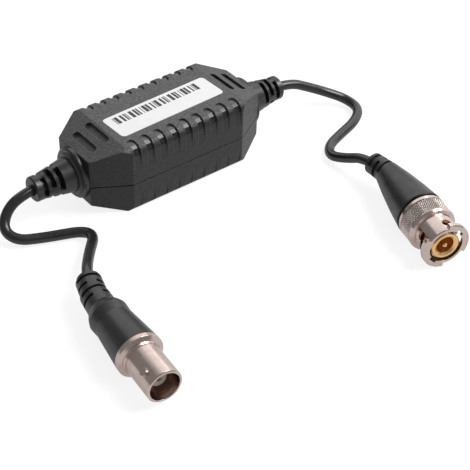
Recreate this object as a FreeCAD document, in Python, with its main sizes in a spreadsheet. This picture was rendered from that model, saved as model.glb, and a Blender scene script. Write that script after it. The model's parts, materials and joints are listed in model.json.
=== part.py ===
import FreeCAD, Part
import math
import os
import re

import Sketcher

# In-line video ground loop isolator: a moulded box with an isolating transformer,
# two short coaxial leads, a bayonet jack on one and a bayonet plug on the other.
# Frame: millimetres, origin at the middle of the box's underside, +Z up,
# +X towards the plug's lead. Local X of each connector runs back from its mouth.

# Every driving size: alias, value, meaning
DRIVING_SIZES = (
    ("body_length", 59.5, "box, end face to end face"),
    ("body_width", 27.4, "box, side to side"),
    ("body_height", 21.2, "box, underside to top"),
    ("straight_length", 38.6, "length of the long sides between the corner faces"),
    ("end_width", 15.3, "width of each end face"),
    ("flat_length", 40.6, "level part of the top and of the underside"),
    ("top_drop", 3.5, "how far the top falls to each end face"),
    ("bottom_rise", 3.0, "how far the underside rises to each end face"),
    ("parting_height", 9.2, "height of the joint between the half shells"),
    ("parting_groove", 0.3, "width and depth of the groove at the joint"),
    ("edge_round", 3.0, "rounding of the upper long edges"),
    ("foot_round", 1.8, "rounding of the lower long edges"),
    ("shell_wall", 1.8, "wall of the half shells"),
    ("lip_wall", 0.8, "locating lip, thickness"),
    ("lip_height", 1.2, "locating lip, height above the joint"),
    ("lip_clearance", 0.1, "locating lip, play in its rebate"),
    ("rib_pitch", 4.4, "grip pockets, spacing along the edge"),
    ("rib_count", 9, "grip pockets along each edge"),
    ("pocket_width", 2.2, "grip pocket, width along the edge"),
    ("pocket_arch", 3.5, "upper grip pocket, distance of its round end's middle from the side"),
    ("pocket_floor", 0.5, "upper grip pocket, depth of its floor on the top"),
    ("pocket_edge", 2.5, "upper grip pocket, distance of the floor's edge from the side"),
    ("pocket_facet", 1.35, "upper grip pocket, distance of the facet's foot from the side"),
    ("pocket_facet_drop", 1.1, "upper grip pocket, depth of the facet's foot below the top"),
    ("pocket_step", 0.1, "upper grip pocket, inward step below the facet"),
    ("pocket_step_drop", 0.25, "upper grip pocket, height of that step"),
    ("pocket_ledge", 0.25, "upper grip pocket, distance of the ledge's lip from the side"),
    ("pocket_ledge_drop", 3.1, "upper grip pocket, depth of the ledge below the top"),
    ("pocket_recess", 0.45, "upper grip pocket, depth into the side below the ledge"),
    ("pocket_foot", 7.4, "upper grip pocket, depth below the top where it runs out"),
    ("pocket_top", 5.0, "lower grip pocket, height where it starts"),
    ("pocket_knee", 1.2, "lower grip pocket, height below which its depth stays the same"),
    ("pocket_hollow", 0.35, "lower grip pocket, depth into the side"),
    ("slot_first", 1.9, "end slots, distance of the first down the slope"),
    ("slot_pitch", 4.4, "end slots, spacing down the slope"),
    ("slot_length", 10.4, "end slots, length across the box"),
    ("slot_width", 2.2, "end slots, width"),
    ("slot_depth", 0.9, "end slots, depth"),
    ("label_length", 36.4, "label, along the box"),
    ("label_width", 10.3, "label, across the box"),
    ("label_corner", 1.2, "label, corner radius"),
    ("label_film", 0.12, "label, thickness"),
    ("label_offset", 1.4, "label, distance of its middle from the box's middle"),
    ("label_turn", 2.2, "label, angle to the box, degrees"),
    ("lead_axis", 10.3, "height of the leads where they leave the box"),
    ("cable_diameter", 3.0, "coaxial cable, over its jacket"),
    ("cable_start", 22.0, "distance of the jacket's cut end from the box's middle"),
    ("relief_flange", 15.0, "strain relief, diameter of its outer flange"),
    ("relief_flange_thick", 1.4, "strain relief, thickness of its outer flange"),
    ("relief_step", 12.6, "strain relief, diameter of its step"),
    ("relief_step_thick", 0.9, "strain relief, thickness of its step"),
    ("relief_root", 10.4, "strain relief, diameter at the root of its tail"),
    ("relief_tip", 7.4, "strain relief, diameter at its tip"),
    ("relief_tail", 14.0, "strain relief, length from the box to its tip"),
    ("relief_core", 4.8, "strain relief, diameter at the bottom of its slots"),
    ("relief_slot", 1.5, "strain relief, width of its slots"),
    ("relief_slot_first", 2.6, "strain relief, distance of the last slot from the tip"),
    ("relief_slot_pitch", 2.4, "strain relief, spacing of its slots"),
    ("relief_slot_count", 3, "strain relief, rows of slots"),
    ("relief_slot_arc", 96.0, "strain relief, angle that each slot takes, degrees"),
    ("relief_slots_around", 3, "strain relief, slots in each row"),
    ("relief_neck", 8.4, "strain relief, diameter through the box's wall"),
    ("relief_collar", 11.0, "strain relief, diameter of the collar inside the wall"),
    ("relief_collar_thick", 1.2, "strain relief, thickness of the inside collar"),
    ("wall_clearance", 0.05, "play between a piece and the wall it goes through"),
    ("board_length", 38.0, "circuit board, length"),
    ("board_width", 18.0, "circuit board, width"),
    ("board_thick", 1.2, "circuit board, thickness"),
    ("board_height", 7.0, "circuit board, height of its underside"),
    ("post_spacing_x", 31.0, "board posts, spacing along the box"),
    ("post_spacing_y", 13.0, "board posts, spacing across the box"),
    ("post_diameter", 3.2, "board posts, diameter"),
    ("post_pin", 1.6, "board posts, diameter of the pin in the board"),
    ("post_pin_height", 1.1, "board posts, height of the pin above their shoulder"),
    ("post_clearance", 0.1, "board posts, play at the pin and under the lid's posts"),
    ("core_outer", 13.0, "ferrite ring, outer diameter"),
    ("core_inner", 6.4, "ferrite ring, inner diameter"),
    ("core_height", 5.0, "ferrite ring, height"),
    ("core_edge", 0.5, "ferrite ring, edge bevel"),
    ("wire_diameter", 0.5, "winding wire, diameter"),
    ("wire_clearance", 0.02, "play between the winding and the ring"),
    ("winding_lift", 0.1, "height of the windings' undersides above the board"),
    ("turn_count", 9, "turns of each winding"),
    ("turn_angle", 14.0, "angle between turns, degrees"),
    ("core_wire", 1.5, "cable's inner insulation, diameter"),
    ("bare_wire", 0.6, "cable's inner conductor, diameter"),
    ("wire_reach", 3.0, "length of the inner insulation beyond the jacket"),
    ("wire_drop", 3.0, "length of the bare conductor between insulation and board pad"),
    ("braid_width", 0.7, "twisted braid, diameter"),
    ("braid_offset", 3.2, "twisted braid, distance of its pad from the middle line"),
    ("solder_diameter", 2.0, "solder joint, diameter at the board"),
    ("solder_top", 1.1, "solder joint, diameter at the top"),
    ("solder_height", 0.7, "solder joint, height"),
    ("winding_lead", 2.2, "length of the winding's ends beyond the ring"),
    ("winding_bend", 0.4, "bend radius of the winding wire"),
    ("jack_x", -55.8, "jack, mouth, along the box"),
    ("jack_y", -79.0, "jack, mouth, across the box"),
    ("jack_heading", 84.2, "jack, direction from its mouth to its rear, degrees"),
    ("jack_barrel", 9.6, "jack, outside of the barrel"),
    ("jack_bore", 8.2, "jack, inside of the barrel"),
    ("jack_bore_depth", 9.2, "jack, depth of the bore"),
    ("jack_flange", 12.7, "jack, flange diameter"),
    ("jack_flange_thick", 1.2, "jack, flange edge"),
    ("jack_flange_bevel", 0.6, "jack, length of the flange's conical face"),
    ("jack_shoulder", 10.8, "jack, small end of the flange's conical face"),
    ("jack_neck", 0.4, "jack, length of the neck between flange and barrel"),
    ("jack_length", 13.0, "jack, mouth to the back of the flange"),
    ("jack_rim", 0.25, "jack, bevel at the mouth"),
    ("lug_diameter", 2.0, "jack, bayonet lug"),
    ("lug_height", 0.65, "jack, how far the lugs stand out"),
    ("lug_place", 3.7, "jack, distance of the lugs from the mouth"),
    ("lug_angle", 45.0, "jack, angle of the lugs about the axis, degrees"),
    ("jack_post", 4.4, "jack, insulating post diameter"),
    ("jack_post_recess", 3.8, "jack, distance of the post behind the mouth"),
    ("jack_contact", 2.2, "jack, centre contact diameter"),
    ("jack_contact_bore", 1.4, "jack, hole of the centre contact"),
    ("jack_contact_depth", 5.0, "jack, depth of the centre contact's hole"),
    ("tail_length", 4.0, "connector tails, length behind the flange"),
    ("tail_diameter", 6.4, "connector tails, diameter"),
    ("ferrule_length", 7.0, "crimp ferrules, length"),
    ("ferrule_wall", 0.4, "crimp ferrules, wall"),
    ("jack_boot_front", 12.7, "jack boot, diameter at the flange"),
    ("jack_boot_waist", 10.4, "jack boot, diameter at the end of its cone"),
    ("jack_boot_shoulder", 10.8, "jack boot, diameter in the middle of its shoulder"),
    ("jack_boot_turn", 9.8, "jack boot, diameter three quarters along its shoulder"),
    ("jack_boot_root", 8.2, "jack boot, diameter behind the shoulder"),
    ("jack_boot_cone", 12.0, "jack boot, length of the cone"),
    ("jack_boot_bulge", 6.0, "jack boot, length of the round shoulder"),
    ("jack_bend_place", 4.5, "jack boot, distance of the first bend behind the cone"),
    ("jack_bend_first", -3.9, "jack boot, turn at the shoulder, degrees"),
    ("jack_rear_first", 6.8, "jack boot, length from the first bend to the second"),
    ("jack_bend_second", -8.5, "jack boot, turn at the second bend, degrees"),
    ("jack_rear_second", 5.0, "jack boot, length from the second bend to the third"),
    ("jack_bend_third", -6.0, "jack boot, turn at the third bend, degrees"),
    ("jack_rear_third", 2.3, "jack boot, length from the third bend to the tip"),
    ("jack_boot_ring", 7.2, "jack boot, diameter between the second and third bend"),
    ("jack_boot_tip", 6.4, "jack boot, diameter of its tip"),
    ("boot_core", 4.6, "boots, diameter at the bottom of the slots"),
    ("boot_slot", 0.9, "boots, width of the slots"),
    ("boot_slot_arc", 140.0, "boots, angle that each slot takes, degrees"),
    ("boot_slots_around", 2, "boots, slots in each row"),
    ("boot_tip_round", 0.5, "boots, bevel at the tip"),
    ("boot_lap", 1.0, "boots, how far their straight parts run past each bend"),
    ("boot_taper", 0.2, "boots, step in diameter from one straight part to the next"),
    ("plug_x", 34.0, "plug, front, along the box"),
    ("plug_y", -82.9, "plug, front, across the box"),
    ("plug_heading", 73.4, "plug, direction from its front to its rear, degrees"),
    ("nut_diameter", 14.0, "coupling nut, diameter of the lobes and the grip"),
    ("nut_lobe_thick", 1.6, "coupling nut, length of the lobes at the front"),
    ("nut_lobe_angle", 29.0, "coupling nut, angle of the lobes' middle, degrees"),
    ("nut_lobe_arc", 118.0, "coupling nut, angle that each lobe takes, degrees"),
    ("nut_neck", 11.8, "coupling nut, diameter of the neck"),
    ("nut_neck_end", 6.9, "coupling nut, distance of the neck's end from the front"),
    ("nut_length", 14.2, "coupling nut, front to back"),
    ("nut_bore", 9.8, "coupling nut, bore for the jack's barrel"),
    ("nut_track_depth", 0.62, "coupling nut, depth of the lug tracks"),
    ("nut_lip", 1.0, "coupling nut, lip in front of the lug tracks"),
    ("nut_notch", 2.5, "coupling nut, width of the lug entries"),
    ("nut_track_end", 5.5, "coupling nut, distance of the tracks' back from the front"),
    ("nut_hole", 2.7, "coupling nut, diameter of the holes in the neck"),
    ("nut_slot_back", 4.2, "coupling nut, back of the slots that open the tracks"),
    ("nut_slot_angle", 186.0, "coupling nut, angle of those slots' middle, degrees"),
    ("nut_slot_arc", 40.0, "coupling nut, angle that each of those slots takes, degrees"),
    ("nut_entry_angle", 46.0, "coupling nut, angle of the lug entries, degrees"),
    ("nut_window_place", 3.0, "coupling nut, distance of the first pair of holes from the front"),
    ("nut_window_angle", 81.0, "coupling nut, angle of the first pair of holes, degrees"),
    ("nut_detent_place", 4.0, "coupling nut, distance of the second pair from the front"),
    ("nut_detent_angle", 160.0, "coupling nut, angle of the second pair, degrees"),
    ("nut_round", 1.0, "coupling nut, rounding of the grip's front"),
    ("nut_land", 0.3, "coupling nut, smooth band in front of the knurling"),
    ("nut_rear_land", 1.2, "coupling nut, smooth band behind the knurling"),
    ("knurl_depth", 0.15, "coupling nut, depth of the ground that carries the knurling"),
    ("nut_edge", 0.25, "coupling nut, bevel of its sharp edges"),
    ("nut_web", 1.2, "coupling nut, thickness of the inner web"),
    ("nut_rear_bore", 12.2, "coupling nut, counterbore at the back"),
    ("nut_clearance", 0.1, "play between the nut's web and the plug body"),
    ("nut_play", 0.6, "free forward travel of the nut"),
    ("nut_gap", 0.02, "gap between faces that slide on each other"),
    ("flange_front", 8.4, "plug body, distance of its flange behind the front"),
    ("flange_thick", 1.3, "plug body, thickness of its flange"),
    ("flange_clearance", 0.1, "plug body, play of its flange in the nut's bore"),
    ("body_neck", 7.6, "plug body, diameter of its neck"),
    ("retainer_diameter", 9.4, "retaining ring, diameter"),
    ("retainer_thick", 0.5, "retaining ring, thickness"),
    ("wave_height", 1.1, "wave washer, height over its waves"),
    ("wave_thick", 0.25, "wave washer, thickness of the strip"),
    ("wave_count", 3, "wave washer, number of waves"),
    ("slip_thick", 0.4, "slip washer, thickness"),
    ("washer_clearance", 0.1, "play of the washers on the neck and in the bore"),
    ("gasket_thick", 0.8, "gasket, thickness"),
    ("gasket_gap", 0.3, "gasket, distance from the nut's bore"),
    ("sleeve_outer", 8.1, "contact sleeve, outside diameter"),
    ("sleeve_mouth", 6.4, "contact sleeve, inside of the bevel at its front"),
    ("sleeve_inner", 5.2, "contact sleeve, inside diameter"),
    ("sleeve_front", 0.2, "contact sleeve, distance behind the nut's front"),
    ("sleeve_bevel", 0.5, "contact sleeve, depth of the bevel"),
    ("sleeve_tail", 6.6, "contact sleeve, diameter inside the plug body"),
    ("sleeve_seat", 4.0, "contact sleeve, length inside the plug body"),
    ("insulator_front", 4.5, "plug's insulator, distance behind the nut's front"),
    ("pin_diameter", 1.35, "centre pin, diameter"),
    ("pin_front", 0.3, "centre pin, distance of its tip behind the nut's front"),
    ("pin_point", 0.35, "centre pin, length of its rounded point"),
    ("boot_gap", 0.7, "gap between the nut and the plug's boot"),
    ("boot_spigot", 11.0, "plug boot, diameter of the spigot in the nut"),
    ("boot_spigot_length", 0.6, "plug boot, length of the spigot"),
    ("plug_boot_front", 14.0, "plug boot, diameter at the nut"),
    ("plug_boot_waist", 7.2, "plug boot, diameter at the end of the cone"),
    ("plug_boot_cone", 20.3, "plug boot, length of the cone"),
    ("plug_boot_swell", 0.25, "plug boot, how far the cone swells out of straight"),
    ("plug_bend_first", 16.8, "plug boot, turn behind the cone, degrees"),
    ("plug_rear_first", 6.2, "plug boot, length from the bend to the tip"),
    ("plug_boot_ring", 7.0, "plug boot, diameter behind the bend"),
    ("plug_boot_tip", 6.4, "plug boot, diameter of its tip"),
)

# Route of each lead from its strain relief to its boot, chosen by hand
JACK_LEAD_ROUTE = (
    (-48.2, -0.2, 9.9),
    (-52.6, -0.6, 7.0),
    (-55.4, -3.4, 3.8),
    (-53.6, -7.5, 2.1),
    (-47.8, -9.8, 1.6),
    (-41.4, -12.3, 1.6),
    (-38.0, -13.8, 1.7),
    (-36.0, -16.5, 2.1),
    (-37.0, -19.7, 2.7),
    (-40.3, -23.4, 3.6),
    (-44.4, -28.4, 4.8),
)
PLUG_LEAD_ROUTE = (
    (48.8, -0.3, 10.0),
    (54.6, -2.4, 7.4),
    (60.6, -4.8, 4.4),
    (65.4, -8.8, 2.2),
    (65.6, -14.8, 1.6),
    (59.6, -19.2, 1.6),
    (51.6, -21.6, 1.6),
    (44.8, -24.0, 1.6),
    (41.2, -28.4, 1.9),
    (42.2, -34.0, 3.8),
)

# Slot rows in each straight part of a boot: how far along it, and turn in degrees
JACK_BOOT_ROWS = (
    (),
    (("jack_rear_first - 2.3", "180"), ("jack_rear_first", "90")),
    (("jack_rear_second / 2", "180"), ("jack_rear_second", "90")),
)
PLUG_BOOT_ROWS = (
    (),
    (("0.3", "90"), ("2.3", "180"), ("4.4", "90")),
)

# Turn of each row of slots in the box's strain reliefs, degrees
RELIEF_ROW_TURNS = (25.0, 60.0, 38.5)
CHECK_TOLERANCE = 0.001


class Model:
    """The document, its sheet of sizes and the sub-parts that are written out."""

    def __init__(self):
        self.doc = FreeCAD.newDocument("GroundLoopIsolator")
        self.sheet = self.doc.addObject("Spreadsheet::Sheet", "Sizes")
        for row, (alias, value, meaning) in enumerate(DRIVING_SIZES, start=1):
            self.sheet.set(f"A{row}", meaning)
            self.sheet.set(f"B{row}", str(value))
            self.sheet.setAlias(f"B{row}", alias)
        self.doc.recompute()
        self.parts = []

    def size(self, expression):
        """Value of an expression in the sheet's aliases, for code that needs a number."""
        result = self.sheet.evalExpression(bind(expression))
        return float(getattr(result, "Value", result))

    def keep(self, item, label):
        """Mark a document object as a sub-part and give it its file's name."""
        item.Label = label
        self.parts.append(item)
        return item


def bind(expression):
    """Put the sheet's name before each alias, which is a word with an underscore."""
    return re.sub(r"\b([a-z]+(?:_[a-z]+)+)\b", r"Sizes.\1", expression)


# Sketches

def origin_item(body, role):
    for item in body.Origin.OriginFeatures:
        if item.Role == role:
            return item
    raise ValueError(role)


def place_point(sketch, index, axis, expression, value):
    """Hold one coordinate of a line's start at an expression."""
    if expression == "0":
        line_of_zero = -2 if axis == "X" else -1
        sketch.addConstraint(Sketcher.Constraint("PointOnObject", index, 1, line_of_zero))
        return
    constraint = sketch.addConstraint(
        Sketcher.Constraint("Distance" + axis, -1, 1, index, 1, value))
    sketch.setExpression(f"Constraints[{constraint}]", bind(expression))


def sketch_on(body, role, name, lift="0"):
    sketch = body.newObject("Sketcher::SketchObject", name)
    sketch.AttachmentSupport = [(origin_item(body, role), "")]
    sketch.MapMode = "FlatFace"
    if lift != "0":
        sketch.setExpression(".AttachmentOffset.Base.z", bind(lift))
    return sketch


def turned_sketch(body, role, name, angle):
    """Sketch on an origin plane that is turned about the X axis by an expression."""
    sketch = sketch_on(body, role, name)
    offset = sketch.AttachmentOffset
    offset.Rotation = FreeCAD.Rotation(FreeCAD.Vector(1, 0, 0), 1)
    sketch.AttachmentOffset = offset
    sketch.setExpression(".AttachmentOffset.Rotation.Angle", bind(angle))
    return sketch


def add_outline(model, sketch, corners):
    """Closed outline of straight lines through corners given as expressions."""
    first = sketch.GeometryCount
    points = [FreeCAD.Vector(model.size(x), model.size(y), 0) for x, y in corners]
    count = len(points)
    for number in range(count):
        line = Part.LineSegment(points[number], points[(number + 1) % count])
        sketch.addGeometry(line, False)
    for number in range(count):
        follower = first + (number + 1) % count
        sketch.addConstraint(Sketcher.Constraint("Coincident", first + number, 2, follower, 1))
    for number, (x, y) in enumerate(corners):
        place_point(sketch, first + number, "X", x, points[number].x)
        place_point(sketch, first + number, "Y", y, points[number].y)


def add_circle(model, sketch, x, y, diameter):
    centre = FreeCAD.Vector(model.size(x), model.size(y), 0)
    index = sketch.GeometryCount
    radius = model.size(f"({diameter}) / 2")
    sketch.addGeometry(Part.Circle(centre, FreeCAD.Vector(0, 0, 1), radius), False)
    number = sketch.addConstraint(Sketcher.Constraint("Radius", index, radius))
    sketch.setExpression(f"Constraints[{number}]", bind(f"({diameter}) / 2"))
    for axis, expression, value in (("X", x, centre.x), ("Y", y, centre.y)):
        if expression == "0":
            line_of_zero = -2 if axis == "X" else -1
            sketch.addConstraint(Sketcher.Constraint("PointOnObject", index, 3, line_of_zero))
        else:
            number = sketch.addConstraint(
                Sketcher.Constraint("Distance" + axis, -1, 1, index, 3, value))
            sketch.setExpression(f"Constraints[{number}]", bind(expression))


def rectangle(x0, x1, y0, y1):
    return [(x0, y0), (x1, y0), (x1, y1), (x0, y1)]


# Features

def new_body(model, name):
    return model.doc.addObject("PartDesign::Body", name)


def pad(model, body, name, sketch, length, centred=False):
    feature = body.newObject("PartDesign::Pad", name)
    feature.Profile = sketch
    if centred:
        feature.SideType = "Symmetric"
    feature.setExpression("Length", bind(length))
    model.doc.recompute()
    return feature


def pocket(model, body, name, sketch, length, centred=False, reverse=False):
    """Cut the sketch out of the body, and check that it took something away."""
    before = body.Shape.Volume
    feature = body.newObject("PartDesign::Pocket", name)
    feature.Profile = sketch
    if centred:
        feature.SideType = "Symmetric"
    feature.Reversed = reverse
    feature.setExpression("Length", bind(length))
    model.doc.recompute()
    require_smaller(body, before, name)
    return feature


def require_smaller(body, before, name):
    if not body.Shape.Volume < before - CHECK_TOLERANCE:
        raise RuntimeError(f"{name} cuts nothing, {body.Tip.State}")


def turned(model, name, corners):
    """A body of revolution about its own X axis, from a half section."""
    body = new_body(model, name)
    sketch = sketch_on(body, "XY_Plane", name + "_section")
    add_outline(model, sketch, corners)
    feature = body.newObject("PartDesign::Revolution", name + "_turned")
    feature.Profile = sketch
    feature.ReferenceAxis = (sketch, ["H_Axis"])
    feature.Angle = 360
    model.doc.recompute()
    return body


def place(item, x, y, z, heading):
    item.setExpression("Placement.Base.x", bind(x))
    item.setExpression("Placement.Base.y", bind(y))
    item.setExpression("Placement.Base.z", bind(z))
    item.setExpression("Placement.Rotation.Angle", bind(heading))


def boolean(model, kind, name, base, tool):
    item = model.doc.addObject("Part::" + kind, name)
    item.Base = base
    item.Tool = tool
    model.doc.recompute()
    return item


def cut(model, name, base, tool):
    return boolean(model, "Cut", name, base, tool)


def join(model, name, shapes):
    item = model.doc.addObject("Part::MultiFuse", name)
    item.Shapes = shapes
    item.Refine = True
    model.doc.recompute()
    return item


def box(model, name, lengths, corner):
    item = model.doc.addObject("Part::Box", name)
    for field, expression in zip(("Length", "Width", "Height"), lengths):
        item.setExpression(field, bind(expression))
    for axis, expression in zip("xyz", corner):
        item.setExpression("Placement.Base." + axis, bind(expression))
    return item


def cylinder(model, name, diameter, height, foot):
    item = model.doc.addObject("Part::Cylinder", name)
    item.setExpression("Radius", bind(f"({diameter}) / 2"))
    item.setExpression("Height", bind(height))
    for axis, expression in zip("xyz", foot):
        item.setExpression("Placement.Base." + axis, bind(expression))
    return item


# The moulded box

CORNER_RUN = "(body_length - straight_length) / 2"
CORNER_RISE = "(body_width - end_width) / 2"
CORNER_FACE = f"sqrt(({CORNER_RUN})^2 + ({CORNER_RISE})^2)"


def octagon(inset="0"):
    """Plan of the box, every side moved inwards by the inset."""
    straight = f"straight_length / 2 - ({inset}) * ({CORNER_FACE} - {CORNER_RUN}) / ({CORNER_RISE})"
    narrow = f"end_width / 2 - ({inset}) * ({CORNER_FACE} - {CORNER_RISE}) / ({CORNER_RUN})"
    half_length = f"body_length / 2 - ({inset})"
    half_width = f"body_width / 2 - ({inset})"
    quarter = [(half_length, narrow), (straight, half_width)]
    corners = list(quarter)
    corners += [(f"-({x})", y) for x, y in reversed(quarter)]
    corners += [(f"-({x})", f"-({y})") for x, y in quarter]
    corners += [(x, f"-({y})") for x, y in reversed(quarter)]
    return corners


def end_wedges(level, fall, inset, upward):
    """Side view of the wedges that slope the top or the underside at both ends."""
    run = "(body_length - flat_length) / 2"
    lean = f"(sqrt(({fall})^2 + ({run})^2) / ({run}))"
    sign = "-1" if upward else "1"
    base = f"{level} - ({sign}) * ({inset})"
    start = f"flat_length / 2 - ({inset}) * ({lean} - 1) * ({run}) / ({fall})"
    end = f"body_length / 2 - ({inset})"
    foot = (f"{level} - ({sign}) * (({inset}) * {lean}"
            f" + ({fall}) * (({end}) - flat_length / 2) / ({run}))")
    wedge = [(start, base), (end, foot), (end, base)]
    return wedge, [(f"-({x})", y) for x, y in wedge]


def sloped_block(model, name, inset):
    """The box's form, or with an inset the room inside its walls."""
    body = new_body(model, name)
    plan = sketch_on(body, "XY_Plane", name + "_plan", inset)
    add_outline(model, plan, octagon(inset))
    pad(model, body, name + "_block", plan, f"body_height - 2 * ({inset})")
    for side, level, fall, upward in (("top", "body_height", "top_drop", False),
                                      ("underside", "0", "bottom_rise", True)):
        sketch = sketch_on(body, "XZ_Plane", f"{name}_{side}_slopes")
        for wedge in end_wedges(level, fall, inset, upward):
            add_outline(model, sketch, wedge)
        pocket(model, body, f"{name}_{side}_cut", sketch, "body_width * 2", centred=True)
    return body


def long_edges(shape, half_width, height):
    """Names of the two long edges at a height."""
    names = []
    for number, edge in enumerate(shape.Edges, start=1):
        bounds = edge.BoundBox
        level = bounds.ZLength < CHECK_TOLERANCE and abs(bounds.ZMin - height) < CHECK_TOLERANCE
        outside = abs(abs(bounds.YMin) - half_width) < CHECK_TOLERANCE
        if level and outside and bounds.YLength < CHECK_TOLERANCE:
            names.append(f"Edge{number}")
    return names


def round_long_edges(model, body, side, level, radius):
    block = body.Tip
    edges = long_edges(block.Shape, model.size("body_width / 2"), model.size(level))
    rounds = body.newObject("PartDesign::Fillet", side + "_long_edges")
    rounds.Base = (block, edges)
    rounds.setExpression("Radius", bind(radius))
    model.doc.recompute()


def upright_edges(shape):
    names = []
    for number, edge in enumerate(shape.Edges, start=1):
        bounds = edge.BoundBox
        if bounds.XLength < CHECK_TOLERANCE and bounds.YLength < CHECK_TOLERANCE:
            names.append(f"Edge{number}")
    return names


def upper_pocket_section():
    """Side view of an upper grip pocket: floor, facet, step, ledge and recess."""
    side, top = "body_width / 2", "body_height"
    outside = f"{side} + edge_round"
    step = "pocket_facet - pocket_step"
    return [
        (f"{side} - pocket_arch", f"{top} + edge_round"),
        (f"{side} - pocket_arch", f"{top} - pocket_floor"),
        (f"{side} - pocket_edge", f"{top} - pocket_floor"),
        (f"{side} - pocket_facet", f"{top} - pocket_facet_drop"),
        (f"{side} - ({step})", f"{top} - pocket_facet_drop - pocket_step_drop"),
        (f"{side} - pocket_ledge", f"{top} - pocket_ledge_drop"),
        (f"{side} - pocket_recess", f"{top} - pocket_ledge_drop"),
        (side, f"{top} - pocket_foot"),
        (outside, f"{top} - pocket_foot"),
        (outside, f"{top} + edge_round"),
    ]


def lower_pocket_section():
    """Side view of a lower grip pocket: a shallow recess that deepens downwards."""
    side = "body_width / 2"
    outside = f"{side} + edge_round"
    return [
        (outside, "pocket_top"),
        (side, "pocket_top"),
        (f"{side} - pocket_hollow", "pocket_knee"),
        (f"{side} - pocket_hollow", "-edge_round"),
        (outside, "-edge_round"),
    ]


def cut_grip_pockets(model, body, side, outline):
    """A row of pockets across one long edge, repeated on the other side."""
    first = "-rib_pitch * (rib_count - 1) / 2"
    sketch = sketch_on(body, "YZ_Plane", f"grip_{side}_section", first)
    add_outline(model, sketch, outline)
    repeated = [pocket(model, body, f"grip_{side}_pocket", sketch, "pocket_width", centred=True)]
    if side == "upper":
        arch = sketch_on(body, "XY_Plane", "grip_arch_plan", "body_height - pocket_floor")
        add_circle(model, arch, first, "body_width / 2 - pocket_arch",
                   "pocket_width - 2 * nut_gap")
        repeated.append(pocket(model, body, "grip_arch_pocket", arch, "edge_round", reverse=True))
    both = body.newObject("PartDesign::MultiTransform", f"grip_{side}_rows")
    row = body.newObject("PartDesign::LinearPattern", f"grip_{side}_row")
    row.Direction = (origin_item(body, "X_Axis"), [""])
    row.setExpression("Length", bind("rib_pitch * (rib_count - 1)"))
    row.setExpression("Occurrences", bind("rib_count"))
    mirror = body.newObject("PartDesign::Mirrored", f"grip_{side}_mirror")
    mirror.MirrorPlane = (origin_item(body, "XZ_Plane"), [""])
    both.Originals = repeated
    both.Transformations = [row, mirror]
    body.Tip = both
    model.doc.recompute()


def add_slot_outline(model, sketch, middle, half_length, width):
    """Slot with round ends, across the box, as four points and two arcs."""
    x = model.size(middle)
    reach = model.size(half_length)
    radius = model.size(width) / 2
    index = sketch.GeometryCount
    up = FreeCAD.Vector(0, 0, 1)
    sketch.addGeometry(Part.LineSegment(
        FreeCAD.Vector(x + radius, -reach, 0), FreeCAD.Vector(x + radius, reach, 0)), False)
    sketch.addGeometry(Part.ArcOfCircle(
        Part.Circle(FreeCAD.Vector(x, reach, 0), up, radius), 0, math.pi), False)
    sketch.addGeometry(Part.LineSegment(
        FreeCAD.Vector(x - radius, reach, 0), FreeCAD.Vector(x - radius, -reach, 0)), False)
    sketch.addGeometry(Part.ArcOfCircle(
        Part.Circle(FreeCAD.Vector(x, -reach, 0), up, radius), math.pi, 2 * math.pi), False)
    for first, end, second, start in ((0, 2, 1, 1), (1, 2, 2, 1), (2, 2, 3, 1), (3, 2, 0, 1)):
        sketch.addConstraint(
            Sketcher.Constraint("Tangent", index + first, end, index + second, start))
    for arc, sign in ((1, ""), (3, "-")):
        place_centre(sketch, index + arc, "X", middle, x)
        place_centre(sketch, index + arc, "Y", f"{sign}({half_length})",
                     reach if sign == "" else -reach)
    number = sketch.addConstraint(Sketcher.Constraint("Radius", index + 1, radius))
    sketch.setExpression(f"Constraints[{number}]", bind(f"({width}) / 2"))


def place_centre(sketch, index, axis, expression, value):
    number = sketch.addConstraint(
        Sketcher.Constraint("Distance" + axis, -1, 1, index, 3, value))
    sketch.setExpression(f"Constraints[{number}]", bind(expression))


def cut_end_slots(model, body):
    """Two shallow slots in each slope of the top."""
    sketch = sketch_on(body, "XY_Plane", "end_slots_plan")
    sketch.setExpression(".AttachmentOffset.Base.x", bind("flat_length / 2"))
    sketch.setExpression(".AttachmentOffset.Base.z", bind("body_height"))
    offset = sketch.AttachmentOffset
    offset.Rotation = FreeCAD.Rotation(FreeCAD.Vector(0, 1, 0), 1)
    sketch.AttachmentOffset = offset
    sketch.setExpression(".AttachmentOffset.Rotation.Angle",
                         bind("atan(2 * top_drop / (body_length - flat_length))"))
    for number in range(2):
        middle = f"slot_first + {number} * slot_pitch"
        add_slot_outline(model, sketch, middle, "(slot_length - slot_width) / 2", "slot_width")
    slots = pocket(model, body, "end_slots", sketch, "slot_depth")
    mirror = body.newObject("PartDesign::Mirrored", "end_slots_mirror")
    mirror.Originals = [slots]
    mirror.MirrorPlane = (origin_item(body, "YZ_Plane"), [""])
    body.Tip = mirror
    model.doc.recompute()


def cut_parting_groove(model, body):
    sketch = sketch_on(body, "XY_Plane", "parting_plan", "parting_height - parting_groove / 2")
    add_outline(model, sketch, octagon())
    add_outline(model, sketch, octagon("parting_groove"))
    pocket(model, body, "parting_line", sketch, "parting_groove", reverse=True)


def box_form(model):
    """Outside of the closed box with all its moulded detail."""
    body = sloped_block(model, "box_form", "0")
    round_long_edges(model, body, "upper", "body_height", "edge_round")
    round_long_edges(model, body, "lower", "0", "foot_round")
    cut_grip_pockets(model, body, "upper", upper_pocket_section())
    cut_grip_pockets(model, body, "lower", lower_pocket_section())
    cut_end_slots(model, body)
    cut_parting_groove(model, body)
    return body


def lip_ring(model, name, play):
    """Ring of the locating lip, or with play the rebate that takes it."""
    body = new_body(model, name)
    plan = sketch_on(body, "XY_Plane", name + "_plan", "parting_height")
    add_outline(model, plan, octagon(f"shell_wall - lip_wall - ({play})"))
    add_outline(model, plan, octagon("shell_wall"))
    pad(model, body, name + "_ring", plan, f"lip_height + ({play})")
    return body


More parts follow.
